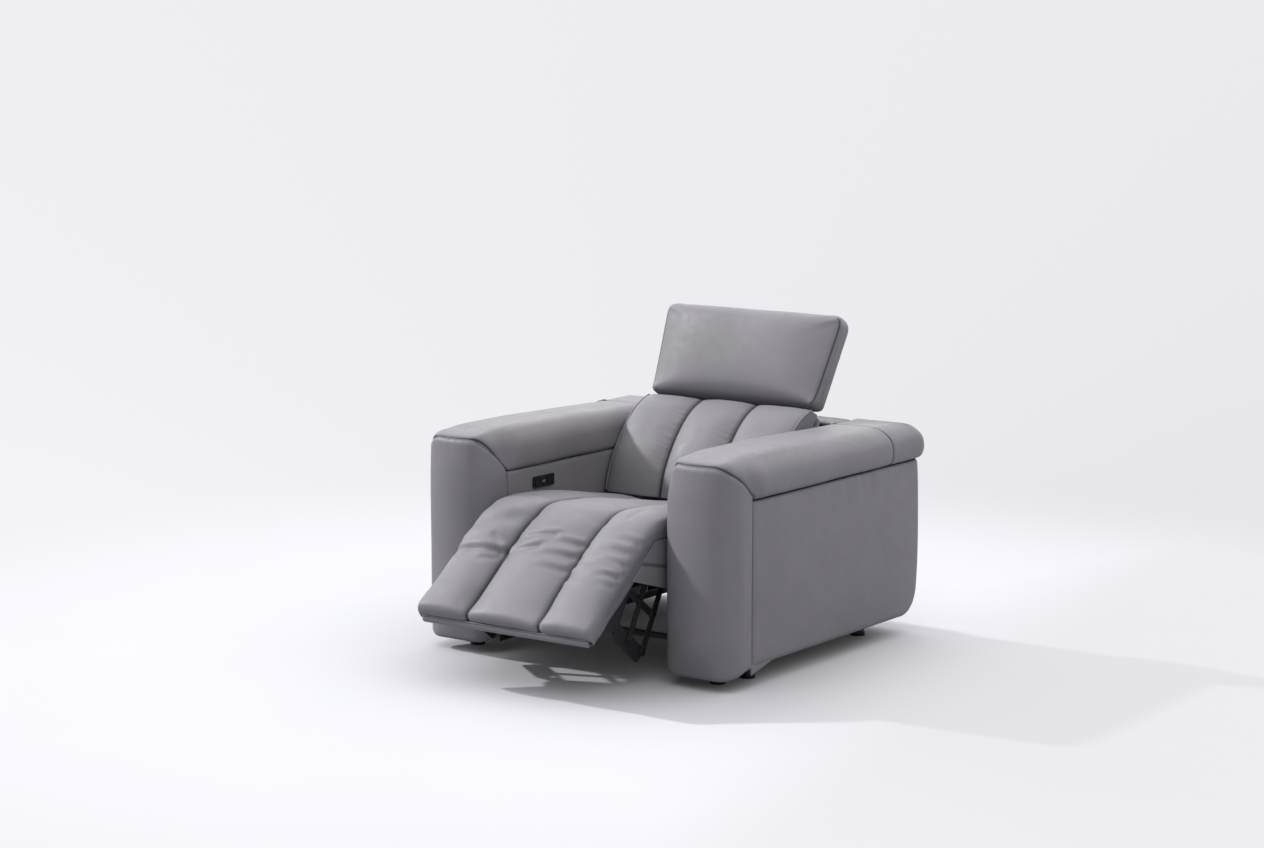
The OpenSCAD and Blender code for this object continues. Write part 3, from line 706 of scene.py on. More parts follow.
LEATHER = Leather("grey_leather", (0.136, 0.131, 0.144), (0.120, 0.116, 0.128), (0.52, 0.62), 0.10)
BLACK_STEEL = Enamel("black_powder_coat", (0.016, 0.016, 0.018), (0.008, 0.008, 0.009), (0.32, 0.5), 0.12,
                     scale=900)
ZINC = Enamel("zinc_plate", (0.56, 0.56, 0.58), (0.36, 0.36, 0.37), (0.28, 0.45), metal=1.0, scale=140)
PLASTIC = Enamel("black_moulding", (0.010, 0.010, 0.011), (0.006, 0.006, 0.007), (0.12, 0.22), scale=700)
NYLON = Enamel("white_nylon", (0.62, 0.62, 0.58), (0.5, 0.5, 0.47), (0.45, 0.6), scale=90)
PINE = Enamel("raw_timber", (0.46, 0.37, 0.26), (0.28, 0.21, 0.14), (0.6, 0.8), 0.3, scale=9,
              stretch=(1.0, 1.0, 14.0))
LINING = Enamel("black_lining", (0.012, 0.012, 0.013), (0.007, 0.007, 0.008), (0.8, 0.95), scale=600)
RIVET = Enamel("blackened_rivets", (0.11, 0.11, 0.115), (0.06, 0.06, 0.062), (0.35, 0.5), metal=1.0,
               scale=140)


# ---------------------------------------------------------------- shared surface work


def clumps(place: np.ndarray, scale: float, seed: float) -> np.ndarray:
    """Soft random hills from -1 to 1 over a set of places, in hills per metre."""
    shift = Vector((seed * 17.3, seed * 5.1, seed * 9.7))
    return np.array([noise.noise(Vector(p) * scale + shift) for p in place])


def valley(gap: np.ndarray, depth: float, width: float) -> np.ndarray:
    """A sewn valley: how far the cover is pulled in at a distance from the seam, in millimetres."""
    return -depth * np.exp(-((gap / width) ** 2))


def crowd(x: np.ndarray, line: float, reach: float = 36.0, share: float = 0.3) -> np.ndarray:
    """Draws places across a pad nearer to its two seams, so that the seams come out crisp."""
    gap = np.abs(x) - line
    near = gap * (share + (1 - share) * np.abs(gap) / reach)
    return np.where(np.abs(gap) < reach, np.copysign(line + near, x), x)


@dataclass(frozen=True)
class Fold:
    """A crease pressed into a cover between two places, with a low ridge above it."""

    start: Point2
    end: Point2
    depth: float = 4.0
    width: float = 12.0
    ridge: float = 0.8

    def press(self, x: np.ndarray, a: np.ndarray) -> np.ndarray:
        """How far the fold moves each place of the cover, in millimetres.

        Args:
            x: Places across the cover.
            a: Places down it.

        Returns:
            The moves along the normals, negative inwards.
        """
        run = np.subtract(self.end, self.start)
        length = float(np.hypot(*run))
        run = run / length
        along = (x - self.start[0]) * run[0] + (a - self.start[1]) * run[1]
        off = ((a - self.start[1]) * run[0] - (x - self.start[0]) * run[1]) / self.width
        past = np.maximum(0, np.maximum(-along, along - length)) / (1.4 * self.width)
        fade = np.exp(-past ** 2) * (0.35 + 0.65 * np.clip(along / length, 0, 1))
        return self.depth * fade * (self.ridge * np.exp(-((off + 1.7) ** 2)) - np.exp(-(off ** 2)))


def seam_shade_line(gap: np.ndarray, width: float = 2.6) -> np.ndarray:
    """Painted shade along the bottom of a seam, from 0 to 1."""
    return np.clip(1.25 - np.abs(gap) / width, 0, 1)


@dataclass(frozen=True)
class Cord:
    """A piping or seam cord laid along a line of places."""

    name: str
    radius: float

    def build(self, path: Sequence[Vector]) -> Piece:
        """Lays the cord and closes its ends.

        Args:
            path: Places along the cord, in metres.

        Returns:
            The cord as a mesh piece.
        """
        curve = bpy.data.curves.new(self.name, "CURVE")
        curve.dimensions = "3D"
        curve.bevel_depth = self.radius * MM
        curve.bevel_resolution = 2
        curve.use_fill_caps = True
        spline = curve.splines.new("POLY")
        spline.points.add(len(path) - 1)
        for point, p in zip(spline.points, path):
            point.co = (*p, 1)
        obj = bpy.data.objects.new(self.name, curve)
        bpy.context.scene.collection.objects.link(obj)
        dg = bpy.context.evaluated_depsgraph_get()
        mesh = bpy.data.meshes.new_from_object(obj.evaluated_get(dg), depsgraph=dg)
        bpy.data.objects.remove(obj)
        bpy.data.curves.remove(curve)
        bm = bmesh.new()
        bm.from_mesh(mesh)
        bpy.data.meshes.remove(mesh)
        bmesh.ops.remove_doubles(bm, verts=bm.verts[:], dist=1e-6)
        bmesh.ops.recalc_face_normals(bm, faces=bm.faces[:])
        return Piece.from_bmesh(self.name, bm)


# ---------------------------------------------------------------- cushions


@dataclass
class Pad:
    """What every cushion's cover has: its piece, and how firmly each point is held while it is filled."""

    piece: Piece = field(init=False, repr=False)
    held: np.ndarray = field(init=False, repr=False)

    def shape(self, u: float, s: float, t: float) -> Vector:
        """The place of a vertex from its shares across, along and deep."""
        raise NotImplementedError

    def cut(self, name: str, quads: tuple[int, int, int]) -> list[np.ndarray]:
        """Cuts the cover to shape and returns its shares."""
        self.piece = Piece.from_blank(name, blank(*quads), self.shape)
        return self.piece.shares()

    def hold(self, where: np.ndarray) -> Piece:
        """Holds the cover at some of its points, and returns it ready to be filled."""
        self.held = np.where(where, 1.0, 0.0)
        return self.piece


@dataclass
class Channelled(Pad):
    """A cover that two seams sew into three channels."""

    half: float = 290.0
    seam_at: float = 120.0

    def across(self, u: np.ndarray) -> tuple[np.ndarray, np.ndarray]:
        """Places across the cover, in millimetres, and how far each one is from the nearer seam."""
        x = crowd(u * self.half, self.seam_at)
        return x, np.abs(np.abs(x) - self.seam_at)


@dataclass
class SeatCover(Channelled):
    """One leather cover over the seat and the footrest, sewn into three channels.

    seat_pull and foot_pull are how deep the seams draw it in, skirt how far it hangs below the footrest's
    sides and tuck how far it folds in there. knee and down are the knee line and the footrest's way down, and
    side the cover's crest and its underside, as y, z, y and z, from the back to the footrest's end.
    """

    quads: tuple[int, int, int] = (60, 110, 5)
    seat_pull: float = 11.0
    foot_pull: float = 30.0
    skirt: float = 30.0
    tuck: float = 16.0
    knee: Point2 = (-517.0, 429.0)
    down: Point2 = (-0.7815, -0.6239)
    length: float = 1019.0
    press: float = 1.7
    folds: tuple[Fold, ...] = (
        Fold((-292, 176), (-126, 160), 5.5, 12), Fold((-296, 170), (-235, 170), 5.0, 30, 0.1),
        Fold((-172, 118), (-124, 162), 3.6, 9), Fold((-168, 196), (-124, 174), 2.8, 9),
        Fold((-255, 205), (-180, 196), 2.0, 12), Fold((-250, 66), (-170, 40), 4.5, 24),
        Fold((-290, 112), (-190, 100), -3.0, 14, 0.0), Fold((-108, 98), (20, 84), 3.8, 10),
        Fold((14, 106), (114, 94), 3.4, 10), Fold((-110, 154), (-10, 132), 4.2, 11),
        Fold((8, 156), (114, 140), 3.8, 11), Fold((30, 200), (114, 190), 3.2, 11),
        Fold((152, 112), (268, 108), 3.6, 13), Fold((196, 142), (128, 170), 3.8, 10),
        Fold((180, 154), (286, 150), 3.0, 12), Fold((232, 198), (292, 188), 4.4, 9),
        Fold((246, 166), (292, 176), 3.6, 9), Fold((185, 204), (128, 214), 2.4, 11),
        Fold((230, 70), (292, 64), 2.6, 12), Fold((250, 226), (292, 222), 2.2, 10))
    side: Line = Line((
        (36, 400, 36, 386), (-60, 416, -60, 390), (-180, 437, -180, 397), (-300, 457, -300, 397),
        (-380, 464, -380, 397), (-439, 468, -430, 398), (-482, 465, -462, 398), (-518, 452, -488, 397),
        (-557, 436, -514, 383), (-620, 393, -562, 343), (-699, 330, -640, 281), (-777, 267, -718, 219),
        (-820, 226, -759, 184), (-830, 210, -779, 171), (-826, 192, -789, 163), (-813, 178, -796, 160)))

    def station(self, s: float) -> tuple[np.ndarray, np.ndarray, float]:
        """The crest, the underside and how far down the footrest they are, at a share of the length."""
        row = self.side.at(s)
        return row[:2], row[2:], smooth(0.44, 0.60, s)

    def drop(self, x: float, pull: float) -> float:
        """How far the cover lies below its crest at a place across it."""
        a = abs(x)
        if a < self.seam_at:
            return pull * (a / self.seam_at) ** 2.6
        half = (self.half - self.seam_at) / 2
        share = (a - self.seam_at - half) / half
        if share < 0:
            return pull * (-share) ** 2.6
        return (9 + pull * 0.35) * share ** 2.6

    def shape(self, u: float, s: float, t: float) -> Vector:
        """The place of a vertex from its shares across, along and deep."""
        top, low, foot = self.station(s)
        x = float(crowd(u * self.half, self.seam_at))
        pull = self.seat_pull + (self.foot_pull - self.seat_pull) * foot
        deep = low - top
        size = float(np.hypot(*deep))
        down = deep / size
        nose = smooth(0.90, 1.0, s)
        level = self.drop(x, pull * (1 - 0.8 * nose)) * (1 - 0.5 * nose * (abs(x) > self.seam_at + 85))
        level += (size - level) * (1 - t)
        edge = 34.0 * (0.6 + 0.4 * foot) * (1 - 0.4 * nose)
        inset = self.half - abs(x)
        above = size - level
        if inset < edge and level < edge:
            e, f = edge - inset, edge - level
            reach = math.hypot(e, f)
            if reach > edge:
                x = math.copysign(self.half - edge + e * edge / reach, x)
                level = edge - f * edge / reach
        hang = smooth(0.60, 0.72, s) * (1 - smooth(0.80, 0.97, s))
        if t < 0.01 and abs(u) > 0.95:
            level += self.skirt * hang
        if abs(u) > 0.9:
            under = max(0.0, 1 - above / (0.6 * size)) ** 2
            x -= math.copysign(self.tuck * (0.4 * foot + 0.6 * hang) * under, x)
        x *= 1 + 0.03 * smooth(0.84, 0.95, s)
        y, z = top + down * level
        return DATUM.at(x, y, z)

    def build(self) -> Piece:
        """Cuts the cover to shape, ready to be filled."""
        u, s, t = self.cut("seat_cover", self.quads)
        _, gap = self.across(u)
        return self.hold((gap < 4) | (t < 0.3) | (s > 0.93))

    def gather(self) -> None:
        """Sews the channels and presses the folds and gathers that they make into the leather."""
        p = self.piece
        p.refine()
        u, s, t = p.shares()
        co = p.places()
        x, gap = self.across(u)
        face = steps(0.85, 1.0, t)
        foot = steps(0.44, 0.60, s)
        _, y, z = DATUM.read(co)
        a = (y - self.knee[0]) * self.down[0] + (z - self.knee[1]) * self.down[1]
        move = valley(gap, 1, 7.0) * (3 + 2 * foot)
        for fold in self.folds:
            move += self.press * fold.press(x, a) * (a > -60) * steps(1, 16, gap)
        short = clumps(np.stack([np.sign(x) * 3.0, a * 0.055, gap * 0.012], 1), 1.0, 8.0)
        zone = np.exp(-(((a - 120) / 95) ** 2))
        move += 2.2 * short * np.exp(-gap / 22) * steps(3, 12, gap) * (0.25 + zone)
        rim = self.half - np.abs(x)
        edge = clumps(np.stack([np.sign(x) * 2.0, a * 0.05, rim * 0.01], 1), 1.0, 11.0)
        move += 1.8 * edge * np.exp(-rim / 40) * (0.2 + zone)
        move += 1.4 * clumps(co, 9.0, 2.0) + 0.5 * clumps(co, 26.0, 7.0) * (0.4 + zone)
        p.swell(move * face)
        # Painted shade down the channel seams and along the footrest's lower end.
        ends = seam_shade_line((1 - s) * self.length, 4.0) * (t > 0.3)
        p.mark("seam", np.maximum(seam_shade_line(gap, 5.0) * face, ends))

    def dress(self) -> None:
        """Gives the cover its leather and lets it bend round the knee."""
        self.piece.finish(LEATHER.build(), "padded_leather", "", "seat_cushion", "footrest_cushion")
        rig.padded(self.piece.obj, Pull.CUSHION.value)
        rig.blend(self.piece.obj, "seat_frame", "footrest",
                 start=DATUM.at(0, -452, 440), end=DATUM.at(0, -548, 400))


@dataclass
class SeatSides:
    """Leather boxing down both sides of the seat, with a zip line, folding in behind the knee."""

    face: float = 292.0
    thick: float = 3.0
    top: float = 399.0
    rear: float = 40.0

    def low(self, y: float) -> float:
        """The lower edge's height."""
        return 260 + 0.29 * max(0.0, -455 - y)

    def zip_line(self, y: float) -> float:
        """The zip line's height."""
        return 320 + 0.22 * max(0.0, -449 - y)

    def build(self, side: Side) -> Piece:
        """Cuts one side's boxing."""
        def shape(u: float, s: float, t: float) -> Vector:
            """The place of a vertex from its shares across, along and deep."""
            h = (u + 1) / 2
            front = -602 + 104 * h ** 1.15
            y = self.rear + (front - self.rear) * s
            z = self.low(y) + (self.top - self.low(y)) * h
            puff = 2.0 * math.sin(math.pi * h) ** 0.7
            pinch = 2.2 * math.exp(-(((z - self.zip_line(y)) / 4.0) ** 2))
            x = self.face - self.thick * (1 - t) - (2.0 - puff) * t - pinch * t
            return DATUM.at(side.value * (x - 10.0 * smooth(-440, -545, y)), y, z)

        name = f"seat_side_{side.name.lower()}"
        piece = Piece.from_blank(name, blank(60, 90, 1), shape)
        _, ys, zs = DATUM.read(piece.places())
        gap = np.array([z - self.zip_line(y) for y, z in zip(ys, zs)])
        # Painted shade either side of the zip line's pinch.
        piece.mark("seam", seam_shade_line(np.abs(gap) - 2.5, 1.6))
        piece.finish(LEATHER.build(), "leather", "")
        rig.blend(piece.obj, "seat_frame", "footrest", start=DATUM.at(0, -430, 0), end=DATUM.at(0, -525, 0))
        return piece


@dataclass
class FootBand:
    """The narrow leather band that closes the footrest's lower end, with its piping."""

    knee: Point2 = (-517.0, 429.0)
    along: Point2 = (-0.7815, -0.6239)
    half: float = 287.0

    def foot(self, a: float, w: float) -> Point2:
        """A point of the footrest: a down it from the knee line, and w behind its middle plane."""
        y = self.knee[0] + a * self.along[0] - w * self.along[1]
        return y, self.knee[1] + a * self.along[1] + w * self.along[0]

    def build(self) -> None:
        """Makes the band and the piping above it."""
        def shape(u: float, s: float, t: float) -> Vector:
            """The place of a vertex from its shares across, along and deep."""
            place = (u * self.half, 20 * (s - 0.5), 9 * (t - 0.5))
            x, w, a = soften(place, (self.half, 10, 4.5), 5, (3, 3), (3, 3))
            return DATUM.at(x, *self.foot(a + 387 + 0.28 * (w + 10) + 1.5 * math.sin(math.pi * s), w + 24))

        band = Piece.from_blank("footrest_end_band", blank(96, 10, 2), shape)
        band.finish(LEATHER.build(), "leather", "footrest", "footrest_band")
        reach = self.half - 4
        path = [DATUM.at(x, *self.foot(389.5, 12.0)) for x in np.linspace(-reach, reach, 60)]
        cord = Cord("footrest_piping", 1.8).build(path)
        cord.finish(LEATHER.build(), "leather", "footrest")


@dataclass
class BackCushion(Channelled):
    """The back's cushion, bulging forward in three sewn channels between piped edges.

    side is its front and its rear, as y, z, y and z, from its foot to its top.
    """

    half: float = 292.0
    seam_at: float = 98.0
    pull: float = 21.0
    edge: float = 14.0
    piping_in: float = 17.0
    side: Line = Line((
        (42, 400, 128, 390), (52, 442, 152, 396), (66, 482, 176, 424), (92, 530, 205, 469),
        (128, 580, 236, 518), (168, 622, 268, 568), (210, 652, 296, 612), (246, 668, 312, 636),
        (272, 675, 320, 650)))

    def shape(self, u: float, s: float, t: float) -> Vector:
        """The place of a vertex from its shares across, along and deep."""
        row = self.side.at(s)
        front, rear = row[:2], row[2:]
        x = float(crowd(u * self.half, self.seam_at))
        a = abs(x)
        third = self.seam_at if a < self.seam_at else (self.half - self.seam_at) / 2
        share = a / third if a < self.seam_at else (a - self.seam_at - third) / third
        rim = share > 0 and a > self.seam_at
        level = (self.pull * 0.75 if rim else self.pull) * abs(share) ** (3.2 if rim else 2.5)
        deep = rear - front
        size = float(np.hypot(*deep))
        level += (size - level) * (1 - t)
        edge = self.edge
        inset = self.half - a
        if inset < edge and level < edge + 8:
            e, f = edge - inset, max(0.0, edge + 8 - level)
            reach = math.hypot(e, f)
            if reach > edge:
                x = math.copysign(self.half - edge + e * edge / reach, x)
        y, z = front + deep / size * level
        return DATUM.at(x, y, z)

    def build(self) -> Piece:
        """Cuts the cushion to shape, ready to be filled."""
        u, s, t = self.cut("back_cushion_cover", (60, 46, 6))
        _, gap = self.across(u)
        return self.hold((gap < 4) | (t < 0.9) | (s < 0.02) | (s > 0.98))

    def gather(self) -> None:
        """Sews the channels and the gathers beside them."""
        p = self.piece
        p.refine()
        u, s, t = p.shares()
        co = p.places()
        x, gap = self.across(u)
        face = steps(0.85, 1.0, t)
        move = 4.5 * valley(gap, 1, 5.0)
        left = x < np.where(x < 0, -self.seam_at, self.seam_at)
        rows = np.stack([np.sign(x) * 2.0 + left * 3.0, s * 46.0 - gap * 0.03, gap * 0.012], 1)
        tucks = clumps(rows, 1.0, 4.0)
        near = np.exp(-gap / 26) * steps(2, 12, gap)
        high = np.exp(-(((s - 0.64) / 0.24) ** 2))
        move += 4.2 * np.maximum(tucks, -0.3) * near * high * left + 1.2 * tucks * near
        soft = clumps(np.stack([x * 0.006, s * 7.0, np.zeros_like(s)], 1), 1.0, 6.0)
        move += 2.2 * soft * steps(0, 40, gap) + 0.5 * clumps(co, 24.0, 3.0)
        p.swell(move * face)
        # Painted shade down the channel seams.
        p.mark("seam", seam_shade_line(gap, 3.8) * face)

    def dress(self) -> None:
        """Gives the cushion its leather and the piping up both sides."""
        self.piece.finish(LEATHER.build(), "padded_leather", "back", "back_cushion")
        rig.padded(self.piece.obj, Pull.CUSHION.value)
        for side in Side:
            path = []
            for s in np.linspace(0.02, 0.99, 60):
                row = self.side.at(float(s))
                deep = row[2:] - row[:2]
                y, z = row[:2] + deep / np.hypot(*deep) * self.piping_in
                path.append(DATUM.at(side.value * (self.half - 1), y, z))
            cord = Cord(f"back_piping_{side.name.lower()}", 3.2).build(path)
            cord.finish(LEATHER.build(), "leather", "back")


@dataclass
class Headrest(Pad):
    """The padded headrest, with a plain front, rounded corners and boxed ends."""

    foot: Point2 = (280.0, 680.0)
    lean: float = math.radians(26)
    length: float = 296.0
    thick: float = 74.0
    low_half: float = 290.0
    top_half: float = 317.0

    @property
    def mid(self) -> float:
        """Half its width at mid-height."""
        return (self.low_half + self.top_half) / 2

    def shape(self, u: float, s: float, t: float) -> Vector:
        """The place of a vertex from its shares across, along and deep."""
        half = self.low_half + (self.top_half - self.low_half) * s
        mid = self.mid
        p = [u * mid, (s - 0.5) * self.length, (t - 0.5) * self.thick]
        p = soften(p, (mid, self.length / 2, self.thick / 2), 38 if p[1] > 0 else 18, (8, 32), (14, 30))
        x, up, out = p
        x *= half / mid
        tall = abs(2 * up / self.length)
        crown = 18.0 * max(0.0, 1 - abs(x / half) ** 3.4) * max(0.0, 1 - tall ** 2.8)
        if t > 0.5:
            crown -= 15.0 * math.exp(-((half - abs(x)) / 48)) * max(0.0, 1 - tall ** 6)
        else:
            out -= 6.0 * (1 - s) * (1 - 2 * t)
        out += crown * (1 if t > 0.5 else -0.3)
        along, depth = up + self.length / 2, self.thick / 2 - out
        sin, cos = math.sin(self.lean), math.cos(self.lean)
        y, z = self.foot
        return DATUM.at(x, y + along * sin + depth * cos, z + along * cos - depth * sin)

    def build(self) -> Piece:
        """Cuts the headrest to shape, ready to be filled."""
        u, _, t = self.cut("headrest_cover", (62, 30, 8))
        gap = np.maximum((1 - np.abs(u)) * self.mid, (1 - t) * self.thick)
        return self.hold((t < 0.1) | (gap < 6))

    def gather(self) -> None:
        """Sews the boxed ends."""
        p = self.piece
        p.refine()
        u, _, t = p.shares()
        co = p.places()
        end = (1 - np.abs(u)) * self.mid
        front, rear = np.maximum(end, (1 - t) * self.thick), np.maximum(end, t * self.thick)
        gap = np.minimum(front, rear)
        near = np.exp(-gap / 20) * steps(3, 10, gap)
        tucks = clumps(co * np.array([2.0, 1.0, 1.0]), 55.0, 7.0)
        soft = clumps(co, 6.0, 9.0)
        p.swell(1.8 * valley(gap, 1, 4.0) + 0.8 * tucks * near + 2.0 * soft)
        # Painted shade along the seams of the boxed ends.
        p.mark("seam", seam_shade_line(gap, 2.4))

    def dress(self) -> None:
        """Gives the headrest its leather."""
        self.piece.finish(LEATHER.build(), "padded_leather", "headrest", "headrest_cushion")
        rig.padded(self.piece.obj, Pull.PANEL.value)


@dataclass
class BackCover:
    """The flat leather behind the reclining back."""

    half: float = 292.0

    def build(self) -> None:
        """Makes the cover just behind the board."""
        low, high = np.array((152.0, 384.0)), np.array((322.0, 651.0))
        up = (high - low) / np.hypot(*(high - low))
        out = np.array((up[1], -up[0]))
        span = float(np.hypot(*(high - low)))

        def shape(u: float, s: float, t: float) -> Vector:
            """The place of a vertex from its shares across, along and deep."""
            p = (u * self.half, (s - 0.5) * span * 0.94, (t - 0.5) * 8)
            x, v, w = soften(p, (self.half, span * 0.47, 4), 16, (3, 3), (3, 3))
            y, z = low + up * (v + span * 0.52) + out * (w + 20)
            return DATUM.at(x, y, z)

        piece = Piece.from_blank("back_rear_leather", blank(40, 24, 2), shape)
        piece.finish(LEATHER.build(), "leather", "back", "back_rear_cover")


# ---------------------------------------------------------------- armrests and outer back


@dataclass(frozen=True)
class RoundedPath:
    """A path seen from above, of straight runs and rounded corners."""

    places: tuple[Point2, ...]
    normals: tuple[Point2, ...]
    marks: tuple[float, ...]

    @property
    def length(self) -> float:
        """Its whole length."""
        return self.marks[-1]

    def at(self, share: float) -> tuple[Point2, Point2]:
        """The place and the outward direction at a share of the length."""
        d = min(max(share, 0.0), 1.0) * self.length
        i = min(len(self.marks) - 2, max(0, int(np.searchsorted(self.marks, d)) - 1))
        f = (d - self.marks[i]) / max(1e-9, self.marks[i + 1] - self.marks[i])

        def between(ends: tuple[Point2, ...]) -> Point2:
            """A value between those at the two marks on either side."""
            (x0, y0), (x1, y1) = ends[i], ends[i + 1]
            return x0 + (x1 - x0) * f, y0 + (y1 - y0) * f

        nx, ny = between(self.normals)
        size = math.hypot(nx, ny) or 1.0
        return between(self.places), (nx / size, ny / size)


def rounded(corners: Sequence[Point3], turns: int = 16) -> RoundedPath:
    """Rounds a path's corners.

    Args:
        corners: x, y and radius of each corner; the path's outside is on its right hand.
        turns: Steps round each corner.

    Returns:
        The path with its outward directions.
    """
    here = [np.array((x, y)) for x, y, _ in corners]
    runs = [(b - a) / np.linalg.norm(b - a) for a, b in zip(here, here[1:])]
    sides = [np.array((run[1], -run[0])) for run in runs]
    places: list[Point2] = [tuple(here[0])]
    normals: list[Point2] = [tuple(sides[0])]
    for k in range(1, len(corners) - 1):
        r = corners[k][2]
        way = 1 if np.dot(runs[k], sides[k - 1]) < 0 else -1
        middle = here[k] - (runs[k - 1] + sides[k - 1] * way) * r
        for i in range(turns + 1):
            w = math.pi / 2 * i / turns
            out = sides[k - 1] * math.cos(w) + sides[k] * math.sin(w)
            places.append(tuple(middle + out * r * way))
            normals.append(tuple(out))
    places.append(tuple(here[-1]))
    normals.append(tuple(sides[-1]))
    marks = [0.0]
    for p, q in zip(places, places[1:]):
        marks.append(marks[-1] + math.dist(p, q))
    return RoundedPath(tuple(places), tuple(normals), tuple(marks))


@dataclass(frozen=True)
class Panel:
    """A leather panel that wraps the armrest's frame.

    Its corners are the path of its face seen from above, each with its radius, from the inner end. low and
    top give its edges' heights at a place of that path, thick its padding and puff how far that swells at the
    middle, and streaks how deep the soft upright wrinkles under the rear of its upper edge are. A leaning one
    leans in at the top with the roll and bows out with the front's padding.
    """

    part: str
    node: str
    corners: tuple[Point3, ...]
    low: Callable[[float, float], float]
    top: Callable[[float, float], float]
    thick: float
    quads: tuple[int, int]
    puff: float
    leaning: bool = False
    streaks: float = 0.0


@dataclass
class Armrest:
    """One armrest's leather: front panel, outer and inner sides, and the padded roll in two lengths.

    Its faces, ends and heights are given from the datum. seam is where the roll is sewn to the sides, crest
    its top, over how far it bulges past the outer side, and cross where its two lengths meet. bow is the
    radius of the front's padding, and hem and heel are the side's lower edge and its rear corner's radius.
    """

    side: Side
    inner: float = 300.0
    outer: float = 536.0
    front: float = -499.0
    rear: float = 499.0
    wall: float = 480.0
    seam: float = 521.0
    crest: float = 644.0
    over: float = 17.0
    bow: float = 181.0
    corner: float = 60.0
    cross: float = 320.0
    side_round: float = 66.0
    front_round: float = 18.0
    inner_low: float = 236.0
    hem: float = 58.5
    heel: float = 66.0

    @property
    def joint(self) -> float:
        """Where the roll's two lengths meet, as a share of its whole length."""
        return (self.cross - self.front) / (self.rear - self.front)

    def name(self, what: str) -> str:
        """A piece's name with its side."""
        return f"arm_{what}_{self.side.name.lower()}"

    def at(self, x: float, y: float, z: float) -> Vector:
        """A place given for the right-hand armrest, on this one."""
        return DATUM.at(self.side.value * x, y, z)

    def front_seam(self, x: float, y: float) -> float:
        """The height of the front panel's upper edge at a place round its face."""
        middle = (self.inner + self.outer) / 2
        reach = max(0.0, abs(x - middle) - ((self.outer - self.inner) / 2 - self.corner))
        turn = math.atan2(reach, max(0.0, self.front + self.corner - y)) if reach > 0 else 0.0
        run = self.corner * turn + max(0.0, y - self.front - self.corner)
        return 623.5 - (0.0276 * run ** 1.69 if x < middle else 0.0427 * run ** 1.55)

    def roll_top(self, y: float) -> float:
        """The roll's crest line from front to rear."""
        rise = max(0.0, -350 - y) / 149
        return self.crest - 17 * rise ** 2 - 15 * smooth(-300, 420, y)

    def padding(self, x: float, y: float, z: float) -> float:
        """How far the front's padding bows out at a place round its face."""
        half = (self.outer - self.inner) / 2
        q = abs(x - self.inner - half)
        r, corner = self.bow, self.corner
        rise = math.sqrt((r - corner) ** 2 - (half - corner) ** 2)
        if q >= half - corner + corner * (half - corner) / (r - corner) or y > self.front + corner:
            return 0.0
        round_off = corner - math.sqrt(corner ** 2 - max(0.0, q - half + corner) ** 2)
        out = math.sqrt(r * r - q * q) - rise - corner + round_off
        return out * smooth(20, 120, z) * (1 - 0.35 * smooth(520, 640, z))

    def draw_in(self, x: float, y: float, z: float) -> float:
        """How far the inner upper corner of the front is drawn outward."""
        return 15.0 * smooth(500, 605, z) * smooth(self.inner + 90, self.inner, x) * smooth(-330, -430, y)

    def lean(self, normal: Point2, y: float, z: float) -> float:
        """How far the skin leans in from its upright face at a height."""
        r = self.side_round * normal[0] ** 2 + self.front_round * normal[1] ** 2
        rise = max(0.0, z - (self.roll_top(y) - r))
        return r - math.sqrt(max(0.0, r * r - rise * rise))

    def roll_place(self, u: float, s: float, t: float) -> Vector:
        """The place of a vertex of the whole roll from its shares across, along and deep."""
        low = self.seam - 3
        half, length, tall = (self.outer - self.inner) / 2, self.rear - self.front, self.crest - low
        p = [u * half, (s - 0.5) * length, (t - 0.5) * tall]
        rear = p[1] > 0
        ends = (self.side_round, 52.0 if rear else self.front_round)
        low_ends = (14, 12 if rear else 4)
        p = soften(p, (half, length / 2, tall / 2), 30 if rear else self.corner, ends, low_ends)
        x, y, z = p[0] + half + self.inner, p[1] + (self.front + self.rear) / 2, p[2] + tall / 2
        top = self.roll_top(y) - low
        z = low + (z if z < tall / 2 else tall / 2 + (z - tall / 2) * (top - tall / 2) / (tall / 2))
        run = max(0.0, y - self.front - 60)
        above = max(0.0, z - self.front_seam(x, y))
        away = smooth(0, 90, math.hypot(run, above * 1.2)) * smooth(10, 90, run)
        belly = math.sin(math.pi * min(1, max(0, (z - low) / 110)) ** 0.7)
        inward = smooth(self.inner + 60, self.inner, x) * (1 - smooth(20, 140, y))
        outward = self.over * smooth(self.outer - 70, self.outer, x) * (0.1 + 0.9 * belly)
        x += away * (outward - 8.0 * inward * belly)
        y += 20.0 * smooth(self.rear - 60, self.rear, y) * belly - self.padding(x, y, z)
        return Vector((x + self.draw_in(x, y, z), y, z))

    def roll(self, part: str, start: float, end: float, node: str) -> None:
        """One length of the roll.

        Args:
            part: The piece's plain name.
            start: Where it starts, as a share of the roll's whole length.
            end: Where it ends.
            node: The CAD solid that it stands for.
        """
        def shape(u: float, s: float, t: float) -> Vector:
            """The place of a vertex from its shares across, along and deep."""
            return self.at(*self.roll_place(u, start + (end - start) * s, t))

